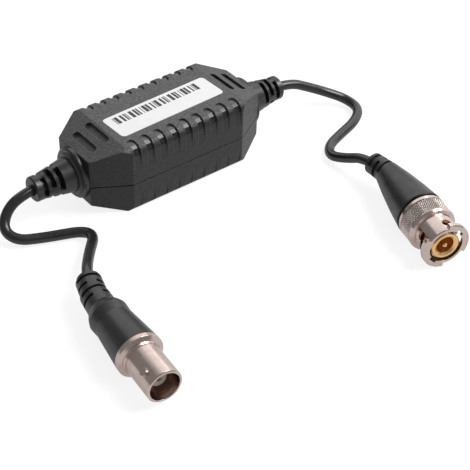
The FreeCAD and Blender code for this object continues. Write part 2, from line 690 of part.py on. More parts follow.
def post_places():
    for x in ("-post_spacing_x / 2", "post_spacing_x / 2"):
        for y in ("-post_spacing_y / 2", "post_spacing_y / 2"):
            yield x, y


def lower_posts(model):
    """Posts that carry the board, each with a pin through it."""
    floor = "shell_wall * 0.9"
    items = []
    for number, (x, y) in enumerate(post_places(), start=1):
        items.append(cylinder(model, f"lower_post_{number}", "post_diameter",
                              f"board_height - {floor}", (x, y, floor)))
        items.append(cylinder(model, f"lower_pin_{number}", "post_pin",
                              "post_pin_height", (x, y, "board_height")))
    return items


def upper_posts(model):
    """Posts of the lid that hold the board down."""
    foot = "board_height + board_thick + post_clearance"
    return [cylinder(model, f"upper_post_{number}", "post_diameter",
                     f"body_height - shell_wall * 0.9 - ({foot})", (x, y, foot))
            for number, (x, y) in enumerate(post_places(), start=1)]


def lead_holes(model):
    """Round bar that opens both end walls for the strain reliefs."""
    bar = cylinder(model, "lead_holes", "relief_neck + 2 * wall_clearance",
                   "body_length * 2", ("-body_length", "0", "lead_axis"))
    bar.Placement = FreeCAD.Placement(
        bar.Placement.Base, FreeCAD.Rotation(FreeCAD.Vector(0, 1, 0), 90))
    return bar


def half_shells(model):
    form = box_form(model)
    room = sloped_block(model, "box_room", "shell_wall")
    shell = cut(model, "box_shell", form, room)
    open_shell = cut(model, "open_shell", shell, lead_holes(model))
    below = box(model, "below_parting", ("body_length * 2", "body_width * 2", "parting_height"),
                ("-body_length", "-body_width", "0"))
    lid = cut(model, "lid_wall", open_shell, below)
    tray = boolean(model, "Common", "tray_wall", open_shell, below)
    lip = cut(model, "lip_with_holes", lip_ring(model, "lip", "0"),
              model.doc.getObject("lead_holes"))
    rebate = lip_ring(model, "rebate", "lip_clearance")
    tray_joined = join(model, "tray_joined", [tray, lip] + lower_posts(model))
    lid_rebated = cut(model, "lid_rebated", lid, rebate)
    lid_joined = join(model, "lid_joined", [lid_rebated] + upper_posts(model))
    model.keep(tray_joined, "lower_housing")
    model.keep(lid_joined, "upper_housing")


def label(model):
    """Blank sticker on the level part of the top, a little askew."""
    body = new_body(model, "label_body")
    sketch = sketch_on(body, "XY_Plane", "label_plan")
    half_length = "label_length / 2"
    half_width = "label_width / 2"
    add_outline(model, sketch, rectangle(f"-{half_length}", half_length,
                                         f"-{half_width}", half_width))
    film = pad(model, body, "label_film_pad", sketch, "label_film")
    corners = body.newObject("PartDesign::Fillet", "label_corners")
    corners.Base = (film, upright_edges(film.Shape))
    corners.setExpression("Radius", bind("label_corner"))
    model.doc.recompute()
    place(body, "0", "-label_offset", "body_height", "label_turn")
    model.keep(body, "label")


# Strain reliefs, boots and leads

def relief_section():
    """Half section of a strain relief; X runs out from the box's end face."""
    wall = "shell_wall + wall_clearance"
    step_end = "relief_flange_thick + relief_step_thick"
    rim = "relief_flange_thick * 0.3"
    return [
        (f"-({wall}) - relief_collar_thick", "0"),
        (f"-({wall}) - relief_collar_thick", "relief_collar / 2"),
        (f"-({wall})", "relief_collar / 2"),
        (f"-({wall})", "relief_neck / 2"),
        ("0", "relief_neck / 2"),
        ("0", "relief_flange / 2"),
        (f"relief_flange_thick - ({rim})", "relief_flange / 2"),
        ("relief_flange_thick", f"relief_flange / 2 - ({rim})"),
        ("relief_flange_thick", "relief_step / 2"),
        (step_end, f"relief_step / 2 - ({rim})"),
        (step_end, "relief_root / 2"),
        ("relief_tail - relief_slot_first", "relief_tip / 2"),
        ("relief_tail - relief_slot / 4", "relief_tip / 2"),
        ("relief_tail", "relief_tip / 2 - relief_slot / 4"),
        ("relief_tail", "0"),
    ]


def slot_row(model, name, kind, row_place, reach, turn):
    """Ring sectors that cut one row of slots about the X axis of a tail."""
    body = new_body(model, name)
    sketch = turned_sketch(body, "XY_Plane", name + "_section", str(turn))
    add_outline(model, sketch, rectangle(
        f"{row_place} - {kind}_slot / 2", f"{row_place} + {kind}_slot / 2",
        f"{kind}_core / 2", reach))
    single = body.newObject("PartDesign::Revolution", name + "_sector")
    single.Profile = sketch
    single.ReferenceAxis = (sketch, ["H_Axis"])
    single.Midplane = True
    single.setExpression("Angle", bind(f"{kind}_slot_arc"))
    model.doc.recompute()
    around = body.newObject("PartDesign::PolarPattern", name + "_around")
    around.Originals = [single]
    around.Axis = (origin_item(body, "X_Axis"), [""])
    around.Angle = 360
    around.setExpression("Occurrences", bind(f"{kind}_slots_around"))
    body.Tip = around
    model.doc.recompute()
    return body


def strain_relief(model, name, side, lead):
    """Slit tail moulded round the lead, held by the wall between two collars."""
    heading = "0" if side > 0 else "180"
    body = turned(model, name + "_form", relief_section())
    tools = [lead]
    for row in range(int(model.size("relief_slot_count"))):
        row_place = f"relief_tail - relief_slot_first - {row} * relief_slot_pitch"
        turn = RELIEF_ROW_TURNS[row] if side < 0 else 180 - RELIEF_ROW_TURNS[row]
        tools.append(slot_row(model, f"{name}_row_{row + 1}", "relief", row_place,
                              "relief_flange / 2", turn))
    for piece in [body] + tools[1:]:
        place(piece, f"{side} * body_length / 2", "0", "lead_axis", heading)
    model.doc.recompute()
    model.keep(cut(model, name + "_moulded", body, join(model, name + "_hollows", tools)), name)


def tangent_path(points, widest=None):
    """Straight runs joined by arcs as large as the two runs beside each point allow."""
    edges = []
    radii = []
    length = 0.0
    start = points[0]
    for index in range(1, len(points) - 1):
        before, corner, after = points[index - 1], points[index], points[index + 1]
        run_in = (corner - before).Length
        run_out = (after - corner).Length
        heading_in = (corner - before).normalize()
        heading_out = (after - corner).normalize()
        turn = heading_in.getAngle(heading_out)
        setback = 0.45 * min(run_in, run_out)
        radius = setback / math.tan(turn / 2)
        if widest and radius > widest:
            radius = widest
            setback = radius * math.tan(turn / 2)
        arc_start = corner - heading_in * setback
        arc_end = corner + heading_out * setback
        inward = (heading_out - heading_in).normalize()
        to_centre = math.hypot(radius, setback)
        middle = corner + inward * (to_centre - radius)
        edges.append(Part.LineSegment(start, arc_start).toShape())
        edges.append(Part.Arc(arc_start, middle, arc_end).toShape())
        radii.append(radius)
        length += (arc_start - start).Length + radius * turn
        start = arc_end
    edges.append(Part.LineSegment(start, points[-1]).toShape())
    length += (points[-1] - start).Length
    return Part.Wire(edges), radii, length


def lead_cable(model, name, points):
    """Round jacket swept along the lead's path; its volume proves the sweep."""
    wire, radii, length = tangent_path(points)
    radius = model.size("cable_diameter / 2")
    item = sweep(model, name, points, wire, radius)
    expected = math.pi * radius ** 2 * length
    print(f"{name}: length {length:.1f}, radii "
          + " ".join(f"{value:.1f}" for value in radii)
          + f", volume ratio {item.Shape.Volume / expected:.4f}")
    return item


BOOT_FRONT = "nut_length + boot_gap"
CABLE_SEAT = {
    "jack": "jack_length + tail_length / 2",
    "plug": f"{BOOT_FRONT} + tail_length / 2",
}
HEIGHTS = {"jack": "jack_flange / 2", "plug": "nut_diameter / 2"}
BOOT_STEPS = {
    "jack": (("jack_length + jack_boot_cone + jack_bend_place", "jack_bend_first"),
             ("jack_rear_first", "jack_bend_second"),
             ("jack_rear_second", "jack_bend_third"),
             ("jack_rear_third", "0")),
    "plug": ((f"{BOOT_FRONT} + plug_boot_cone", "plug_bend_first"),
             ("plug_rear_first", "0")),
}


def boot_places(kind):
    """Start and heading of each straight part of a connector and its boot."""
    x, y, heading = f"{kind}_x", f"{kind}_y", f"{kind}_heading"
    places = [(x, y, heading)]
    for length, bend in BOOT_STEPS[kind]:
        x = f"{x} + ({length}) * cos({heading})"
        y = f"{y} + ({length}) * sin({heading})"
        heading = f"{heading} + {bend}"
        places.append((x, y, heading))
    return places


def place_connector(body, kind, part=0):
    x, y, heading = boot_places(kind)[part]
    place(body, x, y, HEIGHTS[kind], heading)


def point_along(model, kind, part, distance):
    """Point at a distance along one straight part of a connector and its boot."""
    x, y, heading = boot_places(kind)[part]
    angle = math.radians(model.size(heading))
    return FreeCAD.Vector(model.size(x) + distance * math.cos(angle),
                          model.size(y) + distance * math.sin(angle),
                          model.size(HEIGHTS[kind]))


def lead_points(model, side, route, kind):
    """Path of a lead: from the board, along its route, into the connector."""
    board_end = FreeCAD.Vector(side * model.size("cable_start"), 0, model.size("lead_axis"))
    last = len(BOOT_STEPS[kind])
    points = [board_end] + [FreeCAD.Vector(*point) for point in route]
    points.append(point_along(model, kind, last, LEAD_STRAIGHT))
    points += [point_along(model, kind, part, 0) for part in range(last - 1, 0, -1)]
    points.append(point_along(model, kind, 0, model.size(CABLE_SEAT[kind])))
    return points


# Straight stretch of lead behind each boot
LEAD_STRAIGHT = 2.6


# The jack

def jack_shell(model):
    """Barrel, neck and flange in one turning, with two bayonet lugs."""
    flange_front = "jack_length - jack_flange_thick"
    cone_front = f"{flange_front} - jack_flange_bevel"
    neck_front = f"{cone_front} - jack_neck"
    tail_end = "jack_length + tail_length"
    body = turned(model, "jack_shell_form", [
        ("0", "jack_bore / 2"),
        ("0", "jack_barrel / 2 - jack_rim"),
        ("jack_rim", "jack_barrel / 2"),
        (neck_front, "jack_barrel / 2"),
        (cone_front, "jack_barrel / 2 + jack_rim"),
        (cone_front, "jack_shoulder / 2"),
        (flange_front, "jack_flange / 2"),
        ("jack_length", "jack_flange / 2"),
        ("jack_length", "tail_diameter / 2"),
        (tail_end, "tail_diameter / 2"),
        (tail_end, "cable_diameter / 2 + wall_clearance"),
        (CABLE_SEAT["jack"], "cable_diameter / 2 + wall_clearance"),
        (CABLE_SEAT["jack"], "jack_post / 2"),
        ("jack_bore_depth", "jack_post / 2"),
        ("jack_bore_depth", "jack_bore / 2"),
    ])
    sketch = turned_sketch(body, "XY_Plane", "lug_plan", "lug_angle - 90")
    add_circle(model, sketch, "lug_place", "0", "lug_diameter")
    pad(model, body, "lugs", sketch, "jack_barrel + 2 * lug_height", centred=True)
    hollow = sketch_on(body, "YZ_Plane", "bore_plan")
    add_circle(model, hollow, "0", "0", "jack_bore")
    pocket(model, body, "bore_again", hollow, "jack_bore_depth", reverse=True)
    place_connector(body, "jack")
    model.keep(body, "jack_shell")


def jack_insulator(model):
    body = turned(model, "jack_insulator_form", [
        ("jack_post_recess", "jack_contact / 2"),
        ("jack_post_recess", "jack_post / 2 - jack_rim"),
        ("jack_post_recess + jack_rim", "jack_post / 2"),
        (CABLE_SEAT["jack"], "jack_post / 2"),
        (CABLE_SEAT["jack"], "jack_contact / 2"),
    ])
    place_connector(body, "jack")
    model.keep(body, "jack_insulator")


def jack_contact(model):
    front = "jack_post_recess + jack_rim"
    body = turned(model, "jack_contact_form", [
        (front, "jack_contact_bore / 2"),
        (front, "jack_contact / 2"),
        (CABLE_SEAT["jack"], "jack_contact / 2"),
        (CABLE_SEAT["jack"], "0"),
        (f"{front} + jack_contact_depth", "0"),
        (f"{front} + jack_contact_depth", "jack_contact_bore / 2"),
    ])
    place_connector(body, "jack")
    model.keep(body, "jack_contact")


def crimp_ferrule(model, kind, tail_end):
    """Sleeve crimped over the cable's braid behind a connector's tail."""
    inner = "cable_diameter / 2 + wall_clearance"
    outer = f"{inner} + ferrule_wall"
    body = turned(model, kind + "_ferrule_form", [
        (tail_end, inner),
        (tail_end, outer),
        (f"{tail_end} + ferrule_length", outer),
        (f"{tail_end} + ferrule_length", inner),
    ])
    place_connector(body, kind)
    model.keep(body, kind + "_ferrule")


def boot_part(model, kind, part, length, front, back):
    """One straight part of a boot's tail, turned about its own line."""
    body = turned(model, f"{kind}_boot_part_{part}", [
        ("-boot_lap", "0"),
        ("-boot_lap", f"({front}) / 2"),
        (f"{length} + boot_lap", f"({back}) / 2"),
        (f"{length} + boot_lap", "0"),
    ])
    place_connector(body, kind, part)
    return body


def boot_tip(model, kind, part, length, front):
    """A boot's last part, bevelled at its end."""
    tip = f"{kind}_boot_tip / 2"
    body = turned(model, f"{kind}_boot_part_{part}", [
        ("-boot_lap", "0"),
        ("-boot_lap", f"({front}) / 2"),
        (f"{length} - boot_tip_round", tip),
        (length, f"{tip} - boot_tip_round"),
        (length, "0"),
    ])
    place_connector(body, kind, part)
    return body


def boot_room(model, kind, front, tail_end, tail):
    """Room in a boot for the connector's tail and the crimp ferrule."""
    ferrule = "cable_diameter / 2 + wall_clearance + ferrule_wall"
    body = turned(model, kind + "_boot_room", [
        (front, "0"),
        (front, f"{tail} / 2"),
        (tail_end, f"{tail} / 2"),
        (tail_end, ferrule),
        (f"{tail_end} + ferrule_length", ferrule),
        (f"{tail_end} + ferrule_length", "0"),
    ])
    place_connector(body, kind)
    return body


def boot(model, kind, solids, rows, hidden):
    """Join a boot's parts and take out its slots and what it is moulded round."""
    whole = join(model, kind + "_boot_whole", solids)
    tools = list(hidden)
    for part, part_rows in enumerate(rows):
        for number, (row_place, turn) in enumerate(part_rows, start=1):
            row = slot_row(model, f"{kind}_boot_row_{part}_{number}", "boot", row_place,
                           f"{kind}_boot_waist", turn)
            place_connector(row, kind, part)
            tools.append(row)
    hollows = join(model, kind + "_boot_hollows", tools)
    model.keep(cut(model, kind + "_boot_moulded", whole, hollows), kind + "_boot")


def jack_boot(model, lead):
    cone_end = "jack_length + jack_boot_cone"
    bulge = "jack_boot_bulge"
    front = turned(model, "jack_boot_front_form", [
        ("jack_length", "0"),
        ("jack_length", "jack_boot_front / 2"),
        (cone_end, "jack_boot_waist / 2"),
        (f"{cone_end} + {bulge} / 2", "jack_boot_shoulder / 2"),
        (f"{cone_end} + {bulge} * 3 / 4", "jack_boot_turn / 2"),
        (f"{cone_end} + {bulge}", "jack_boot_root / 2"),
        (f"{cone_end} + {bulge}", "0"),
    ])
    place_connector(front, "jack")
    solids = [
        front,
        boot_part(model, "jack", 1, "jack_rear_first", "jack_boot_root",
                  "jack_boot_ring + boot_taper"),
        boot_part(model, "jack", 2, "jack_rear_second", "jack_boot_ring",
                  "jack_boot_ring - boot_taper"),
        boot_tip(model, "jack", 3, "jack_rear_third", "jack_boot_ring - 2 * boot_taper"),
    ]
    room = boot_room(model, "jack", "jack_length", "jack_length + tail_length", "tail_diameter")
    boot(model, "jack", solids, JACK_BOOT_ROWS, [room, lead])


# The plug

BODY_FLANGE_BACK = "flange_front + flange_thick"
SLIP_FRONT = f"{BODY_FLANGE_BACK} + wave_height + nut_play + nut_gap"
WEB_FRONT = f"{SLIP_FRONT} + slip_thick + nut_gap"
WEB_BACK = f"{WEB_FRONT} + nut_web"
PLUG_TAIL_END = f"{BOOT_FRONT} + tail_length"


def coupling_nut(model):
    """Bayonet nut: neck with two lobes and the lug tracks, grip ring and inner web."""
    outer, ground = "nut_diameter / 2", "nut_diameter / 2 - knurl_depth"
    knurl_front = "nut_neck_end + nut_round + nut_land"
    knurl_back = "nut_length - nut_rear_land"
    body = turned(model, "nut_form", [
        ("0", "nut_bore / 2"),
        ("0", "nut_neck / 2 - nut_edge"),
        ("nut_edge", "nut_neck / 2"),
        ("nut_neck_end", "nut_neck / 2"),
        ("nut_neck_end", f"{outer} - nut_round"),
        ("nut_neck_end + nut_round * 0.3", f"{outer} - nut_round * 0.3"),
        ("nut_neck_end + nut_round", outer),
        (knurl_front, outer),
        (knurl_front, ground),
        (knurl_back, ground),
        (knurl_back, outer),
        ("nut_length - nut_edge", outer),
        ("nut_length", f"{outer} - nut_edge"),
        ("nut_length", "nut_rear_bore / 2"),
        (WEB_BACK, "nut_rear_bore / 2"),
        (WEB_BACK, "body_neck / 2 + nut_clearance"),
        (WEB_FRONT, "body_neck / 2 + nut_clearance"),
        (WEB_FRONT, "nut_bore / 2"),
    ])
    add_lobes(model, body)
    cut_lug_entries(model, body)
    track = "nut_bore / 2 + nut_track_depth"
    inside = "nut_bore / 2 - nut_lip"
    turn_back = "nut_entry_angle + 180 - nut_detent_angle"
    cut_arcs(model, body, "lug_track", f"-(nut_detent_angle + ({turn_back}) / 2)", turn_back,
             rectangle("nut_lip", "nut_track_end", inside, track))
    cut_neck_holes(model, body, "window", "nut_window_angle", "nut_window_place")
    cut_neck_holes(model, body, "detent", "nut_detent_angle", "nut_detent_place")
    cut_arcs(model, body, "lug_slot", "-nut_slot_angle", "nut_slot_arc",
             rectangle("nut_lobe_thick + nut_gap", "nut_slot_back", inside, outer))
    place_connector(body, "plug")
    model.keep(body, "plug_coupling_nut")


def add_lobes(model, body):
    """Two lobes that thicken the neck's front round the lug entries."""
    root, outer = "nut_neck / 2 - nut_edge * 2", "nut_diameter / 2"
    sketch = turned_sketch(body, "XY_Plane", "lobe_section", "-nut_lobe_angle")
    add_outline(model, sketch, [
        ("0", root),
        ("0", f"{outer} - nut_edge"),
        ("nut_edge", outer),
        ("nut_lobe_thick - nut_edge", outer),
        ("nut_lobe_thick", f"{outer} - nut_edge"),
        ("nut_lobe_thick", root),
    ])
    single = body.newObject("PartDesign::Revolution", "lobe")
    turn_twice(model, body, single, sketch, "nut_lobe_arc")


def cut_lug_entries(model, body):
    """Two straight entries through the lobes, opposite each other."""
    sketch = turned_sketch(body, "XY_Plane", "entry_plan", "-nut_entry_angle")
    depth = "nut_bore / 2 + nut_track_depth"
    add_outline(model, sketch, rectangle("-nut_lip", "nut_lobe_thick + nut_notch",
                                         f"-({depth})", depth))
    pocket(model, body, "lug_entries", sketch, "nut_notch", centred=True)


def cut_arcs(model, body, name, turn, arc, section):
    """Two part-round grooves about the nut's axis, opposite each other."""
    sketch = turned_sketch(body, "XY_Plane", name + "_section", turn)
    add_outline(model, sketch, section)
    single = body.newObject("PartDesign::Groove", name)
    turn_twice(model, body, single, sketch, arc)


def turn_twice(model, body, single, sketch, arc):
    """Turn a section through an arc about the X axis, and again opposite it."""
    single.Profile = sketch
    single.ReferenceAxis = (sketch, ["H_Axis"])
    single.Midplane = True
    single.setExpression("Angle", bind(arc))
    model.doc.recompute()
    around = body.newObject("PartDesign::PolarPattern", single.Name + "_pair")
    around.Originals = [single]
    around.Axis = (origin_item(body, "X_Axis"), [""])
    around.Angle = 360
    around.Occurrences = 2
    body.Tip = around
    model.doc.recompute()


def cut_neck_holes(model, body, name, angle, place_x):
    """Two round holes through the neck, opposite each other."""
    sketch = turned_sketch(body, "XY_Plane", name + "_plan", f"90 - {angle}")
    add_circle(model, sketch, place_x, "0", "nut_hole")
    pocket(model, body, name + "_holes", sketch, "nut_diameter * 2", centred=True)


def washer(model, name, front, thick, label_name):
    inner = "body_neck / 2 + washer_clearance"
    outer = "nut_bore / 2 - washer_clearance"
    body = turned(model, name, rectangle(front, f"{front} + {thick}", inner, outer))
    place_connector(body, "plug")
    model.keep(body, label_name)


def wave_washer(model):
    """Spring strip bent into waves round the plug body's neck."""
    inner = model.size("body_neck / 2 + washer_clearance")
    outer = model.size("nut_bore / 2 - washer_clearance")
    thick = model.size("wave_thick")
    swing = (model.size("wave_height") - thick) / 2
    waves = int(model.size("wave_count"))
    middle = model.size(BODY_FLANGE_BACK) + swing
    steps = waves * 8

    def ring(radius):
        points = []
        for step in range(steps):
            angle = 2 * math.pi * step / steps
            points.append(FreeCAD.Vector(middle + swing * math.cos(waves * angle),
                                         radius * math.cos(angle), radius * math.sin(angle)))
        curve = Part.BSplineCurve()
        curve.interpolate(Points=points, PeriodicFlag=True)
        return curve.toShape()

    face = Part.makeRuledSurface(ring(inner), ring(outer))
    solid = face.extrude(FreeCAD.Vector(thick, 0, 0))
    item = model.doc.addObject("Part::Feature", "wave_washer_strip")
    item.Shape = solid
    item.Placement = FreeCAD.Placement(
        FreeCAD.Vector(model.size("plug_x"), model.size("plug_y"), model.size(HEIGHTS["plug"])),
        FreeCAD.Rotation(FreeCAD.Vector(0, 0, 1), model.size("plug_heading")))
    model.keep(item, "plug_wave_washer")


def plug_body(model):
    """Turned body: flange against the gasket, neck for the nut, tail for the cable."""
    flange = "nut_bore / 2 - flange_clearance"
    body = turned(model, "plug_body_form", [
        ("flange_front", "sleeve_tail / 2"),
        ("flange_front", flange),
        (BODY_FLANGE_BACK, flange),
        (BODY_FLANGE_BACK, "body_neck / 2"),
        (PLUG_TAIL_END, "body_neck / 2"),
        (PLUG_TAIL_END, "cable_diameter / 2 + wall_clearance"),
        (CABLE_SEAT["plug"], "cable_diameter / 2 + wall_clearance"),
        (CABLE_SEAT["plug"], "sleeve_inner / 2"),
        ("flange_front + sleeve_seat", "sleeve_inner / 2"),
        ("flange_front + sleeve_seat", "sleeve_tail / 2"),
    ])
    place_connector(body, "plug")
    model.keep(body, "plug_body")


def retaining_ring(model):
    """Ring pressed on the neck behind the nut's web, which keeps the nut on."""
    front = f"{WEB_BACK} + nut_gap"
    body = turned(model, "retainer_form", rectangle(
        front, f"{front} + retainer_thick", "body_neck / 2", "retainer_diameter / 2"))
    place_connector(body, "plug")
    model.keep(body, "plug_retaining_ring")


def contact_sleeve(model):
    """Gilt outer contact: a thick-walled tube with a bevelled mouth."""
    body = turned(model, "sleeve_form", [
        ("sleeve_front", "sleeve_mouth / 2"),
        ("sleeve_front", "sleeve_outer / 2 - nut_edge"),
        ("sleeve_front + nut_edge", "sleeve_outer / 2"),
        ("flange_front", "sleeve_outer / 2"),
        ("flange_front", "sleeve_tail / 2"),
        ("flange_front + sleeve_seat", "sleeve_tail / 2"),
        ("flange_front + sleeve_seat", "sleeve_inner / 2"),
        ("sleeve_front + sleeve_bevel", "sleeve_inner / 2"),
    ])
    place_connector(body, "plug")
    model.keep(body, "plug_contact_sleeve")


def gasket(model):
    """Soft ring in front of the plug body's flange, round the sleeve."""
    body = turned(model, "gasket_form", rectangle(
        "flange_front - gasket_thick", "flange_front",
        "sleeve_outer / 2 + nut_gap", "nut_bore / 2 - gasket_gap"))
    place_connector(body, "plug")
    model.keep(body, "plug_gasket")


def plug_insulator(model):
    """Insulator at the bottom of the sleeve, set back for the jack's post."""
    body = turned(model, "plug_insulator_form", [
        ("insulator_front", "pin_diameter / 2"),
        ("insulator_front", "sleeve_inner / 2"),
        (CABLE_SEAT["plug"], "sleeve_inner / 2"),
        (CABLE_SEAT["plug"], "pin_diameter / 2"),
    ])
    place_connector(body, "plug")
    model.keep(body, "plug_insulator")


def plug_pin(model):
    body = turned(model, "plug_pin_form", [
        ("pin_front", "0"),
        ("pin_front", "pin_diameter / 4"),
        ("pin_front + pin_point", "pin_diameter / 2"),
        (CABLE_SEAT["plug"], "pin_diameter / 2"),
        (CABLE_SEAT["plug"], "0"),
    ])
    place_connector(body, "plug")
    model.keep(body, "plug_centre_pin")


def plug_boot(model, lead):
    spigot_front = f"{BOOT_FRONT} - boot_gap - boot_spigot_length"
    corners = [
        (spigot_front, "0"),
        (spigot_front, "boot_spigot / 2"),
        (BOOT_FRONT, "boot_spigot / 2"),
        (BOOT_FRONT, "plug_boot_front / 2 - nut_edge"),
        (f"{BOOT_FRONT} + nut_edge", "plug_boot_front / 2"),
    ]
    for third in (1, 2):
        straight = f"plug_boot_front / 2 - (plug_boot_front - plug_boot_waist) * {third} / 6"
        corners.append((f"{BOOT_FRONT} + plug_boot_cone * {third} / 3",
                        f"{straight} + plug_boot_swell"))
    corners += [
        (f"{BOOT_FRONT} + plug_boot_cone", "plug_boot_waist / 2"),
        (f"{BOOT_FRONT} + plug_boot_cone", "0"),
    ]
    front = turned(model, "plug_boot_front_form", corners)
    place_connector(front, "plug")
    rear = boot_tip(model, "plug", 1, "plug_rear_first", "plug_boot_ring")
    room = boot_room(model, "plug", spigot_front, PLUG_TAIL_END, "body_neck")
    boot(model, "plug", [front, rear], PLUG_BOOT_ROWS, [room, lead])


# Inside the box

def circuit_board(model):
    body = new_body(model, "board_body")
    sketch = sketch_on(body, "XY_Plane", "board_plan", "board_height")
    add_outline(model, sketch, rectangle("-board_length / 2", "board_length / 2",
                                         "-board_width / 2", "board_width / 2"))
    for x, y in post_places():
        add_circle(model, sketch, x, y, "post_pin + 2 * post_clearance")
    pad(model, body, "board_sheet", sketch, "board_thick")
    model.keep(body, "circuit_board")


CORE_FOOT = "board_height + board_thick + winding_lift + wire_diameter + wire_clearance"


def ferrite_ring(model):
    """Ring core on its side, turned about the upright axis."""
    body = new_body(model, "ferrite_body")
    sketch = sketch_on(body, "XZ_Plane", "ferrite_section")
    low, high = CORE_FOOT, f"{CORE_FOOT} + core_height"
    inner, outer = "core_inner / 2", "core_outer / 2"
    edge = "core_edge"
    add_outline(model, sketch, [
        (f"{inner} + {edge}", low), (f"{outer} - {edge}", low), (outer, f"{low} + {edge}"),
        (outer, f"{high} - {edge}"), (f"{outer} - {edge}", high), (f"{inner} + {edge}", high),
        (inner, f"{high} - {edge}"), (inner, f"{low} + {edge}"),
    ])
    ring = body.newObject("PartDesign::Revolution", "ferrite_turned")
    ring.Profile = sketch
    ring.ReferenceAxis = (sketch, ["V_Axis"])
    ring.Angle = 360
    model.doc.recompute()
    model.keep(body, "ferrite_ring")


def winding_points(model, middle_angle):
    """Corners of one wire wound round the ring, with a straight lead at each end."""
    half = model.size("wire_diameter / 2 + wire_clearance")
    low = model.size(CORE_FOOT) - half
    high = low + model.size("core_height") + 2 * half
    inner = model.size("core_inner / 2") - half
    outer = model.size("core_outer / 2") + half
    far = outer + model.size("winding_lead")
    count = int(model.size("turn_count"))
    step = model.size("turn_angle")

    def corner(radius, angle, z):
        turn = math.radians(angle)
        return FreeCAD.Vector(radius * math.cos(turn), radius * math.sin(turn), z)

    first = middle_angle - step * (count - 1) / 2
    points = [corner(far, first - step, low)]
    for number in range(count):
        angle = first + number * step
        points += [corner(inner, angle, low), corner(inner, angle, high),
                   corner(outer, angle, high), corner(outer, angle, low)]
    points.append(corner(far, angle + step, low))
    return points


def winding(model, name, middle_angle):
    """One wire wound in turns round the ring."""
    points = winding_points(model, middle_angle)
    wire, radii, length = tangent_path(points, model.size("winding_bend"))
    sweep(model, name, points, wire, model.size("wire_diameter / 2"))
    return points[0], points[-1]


def sweep(model, name, points, wire, radius):
    """Round solid along a wire that starts at the first point."""
    direction = (points[1] - points[0]).normalize()
    circle = Part.Wire([Part.Circle(points[0], direction, radius).toShape()])
    item = model.doc.addObject("Part::Feature", name + "_round")
    item.Shape = wire.makePipeShell([circle], True, False)
    model.keep(item, name)
    return item


def bent_wire(model, name, points, radius, bend):
    wire, radii, length = tangent_path(points, bend)
    return sweep(model, name, points, wire, radius)


def lead_wires(model, kind, side):
    """A lead's inner insulation, its conductor and its twisted braid, to the board."""
    start = side * model.size("cable_start")
    axis = model.size("lead_axis")
    base = model.size("board_height + board_thick")
    reach = model.size("wire_reach")
    drop = start - side * (reach + model.size("wire_drop"))
    insulation = Part.makeCylinder(model.size("core_wire / 2"), reach,
                                   FreeCAD.Vector(start, 0, axis), FreeCAD.Vector(-side, 0, 0))
    item = model.doc.addObject("Part::Feature", kind + "_wire_insulation")
    item.Shape = insulation
    model.keep(item, kind + "_core_insulation")
    conductor = [FreeCAD.Vector(start - side * reach, 0, axis),
                 FreeCAD.Vector(drop, 0, axis), FreeCAD.Vector(drop, 0, base)]
    radius = model.size("bare_wire / 2")
    core = bent_wire(model, kind + "_core_wire", conductor, radius, 4 * radius)
    braid_radius = model.size("braid_width / 2")
    beside = side * (model.size("core_wire / 2 + nut_gap") + braid_radius)
    pad_y = side * model.size("braid_offset")
    braid = [FreeCAD.Vector(start, beside, axis),
             FreeCAD.Vector(start - side * reach / 2, beside, axis),
             FreeCAD.Vector(drop + side * reach / 3, pad_y, axis - braid_radius),
             FreeCAD.Vector(drop + side * reach / 3, pad_y, base)]
    tail = bent_wire(model, kind + "_braid_tail", braid, braid_radius, 3 * braid_radius)
    solder_joint(model, kind + "_core_solder", conductor[-1], core)
    solder_joint(model, kind + "_braid_solder", braid[-1], tail)


def solder_joint(model, name, centre, wire):
    """Low cone of solder round the end of a wire on the board."""
    cone = model.doc.addObject("Part::Cone", name + "_cone")
    cone.setExpression("Radius1", bind("solder_diameter / 2"))
    cone.setExpression("Radius2", bind("solder_top / 2"))
    cone.setExpression("Height", bind("solder_height"))
    cone.Placement.Base = FreeCAD.Vector(centre.x, centre.y,
                                         model.size("board_height + board_thick"))
    model.keep(cut(model, name + "_on_wire", cone, wire), name)


def wound_ring(model):
    """Two windings on the ring and the solder at their ends."""
    for name, middle in (("primary", 90), ("secondary", -90)):
        ends = winding(model, name + "_winding", middle)
        wire = model.parts[-1]
        for number, end in enumerate(ends, start=1):
            solder_joint(model, f"{name}_solder_{number}", end, wire)


# Build, check and write

def lead_with_relief(model, kind, side, route, relief):
    lead = lead_cable(model, kind + "_lead", lead_points(model, side, route, kind))
    strain_relief(model, relief, side, lead)
    return lead


def build(model):
    half_shells(model)
    label(model)
    jack_lead = lead_with_relief(model, "jack", -1, JACK_LEAD_ROUTE, "jack_side_relief")
    plug_lead = lead_with_relief(model, "plug", 1, PLUG_LEAD_ROUTE, "plug_side_relief")
    jack_shell(model)
    jack_insulator(model)
    jack_contact(model)
    crimp_ferrule(model, "jack", "jack_length + tail_length")
    jack_boot(model, jack_lead)
    coupling_nut(model)
    washer(model, "slip_washer_form", SLIP_FRONT, "slip_thick", "plug_slip_washer")
    wave_washer(model)
    plug_body(model)
    retaining_ring(model)
    contact_sleeve(model)
    gasket(model)
    plug_insulator(model)
    plug_pin(model)
    crimp_ferrule(model, "plug", PLUG_TAIL_END)
    plug_boot(model, plug_lead)
    circuit_board(model)
    ferrite_ring(model)
    wound_ring(model)
    lead_wires(model, "jack", -1)
    lead_wires(model, "plug", 1)
    model.doc.recompute()


def check(model):
    """Stop before writing when any object failed or a sub-part isn't a sound solid."""
    for item in model.doc.Objects:
        if "Invalid" in item.State or "Error" in item.State:
            raise RuntimeError(f"{item.Name} failed: {item.State}")
    for item in model.parts:
        shape = item.Shape
        if shape.isNull() or not shape.isValid() or shape.Volume <= 0:
            raise RuntimeError(f"{item.Label} has no sound shape")


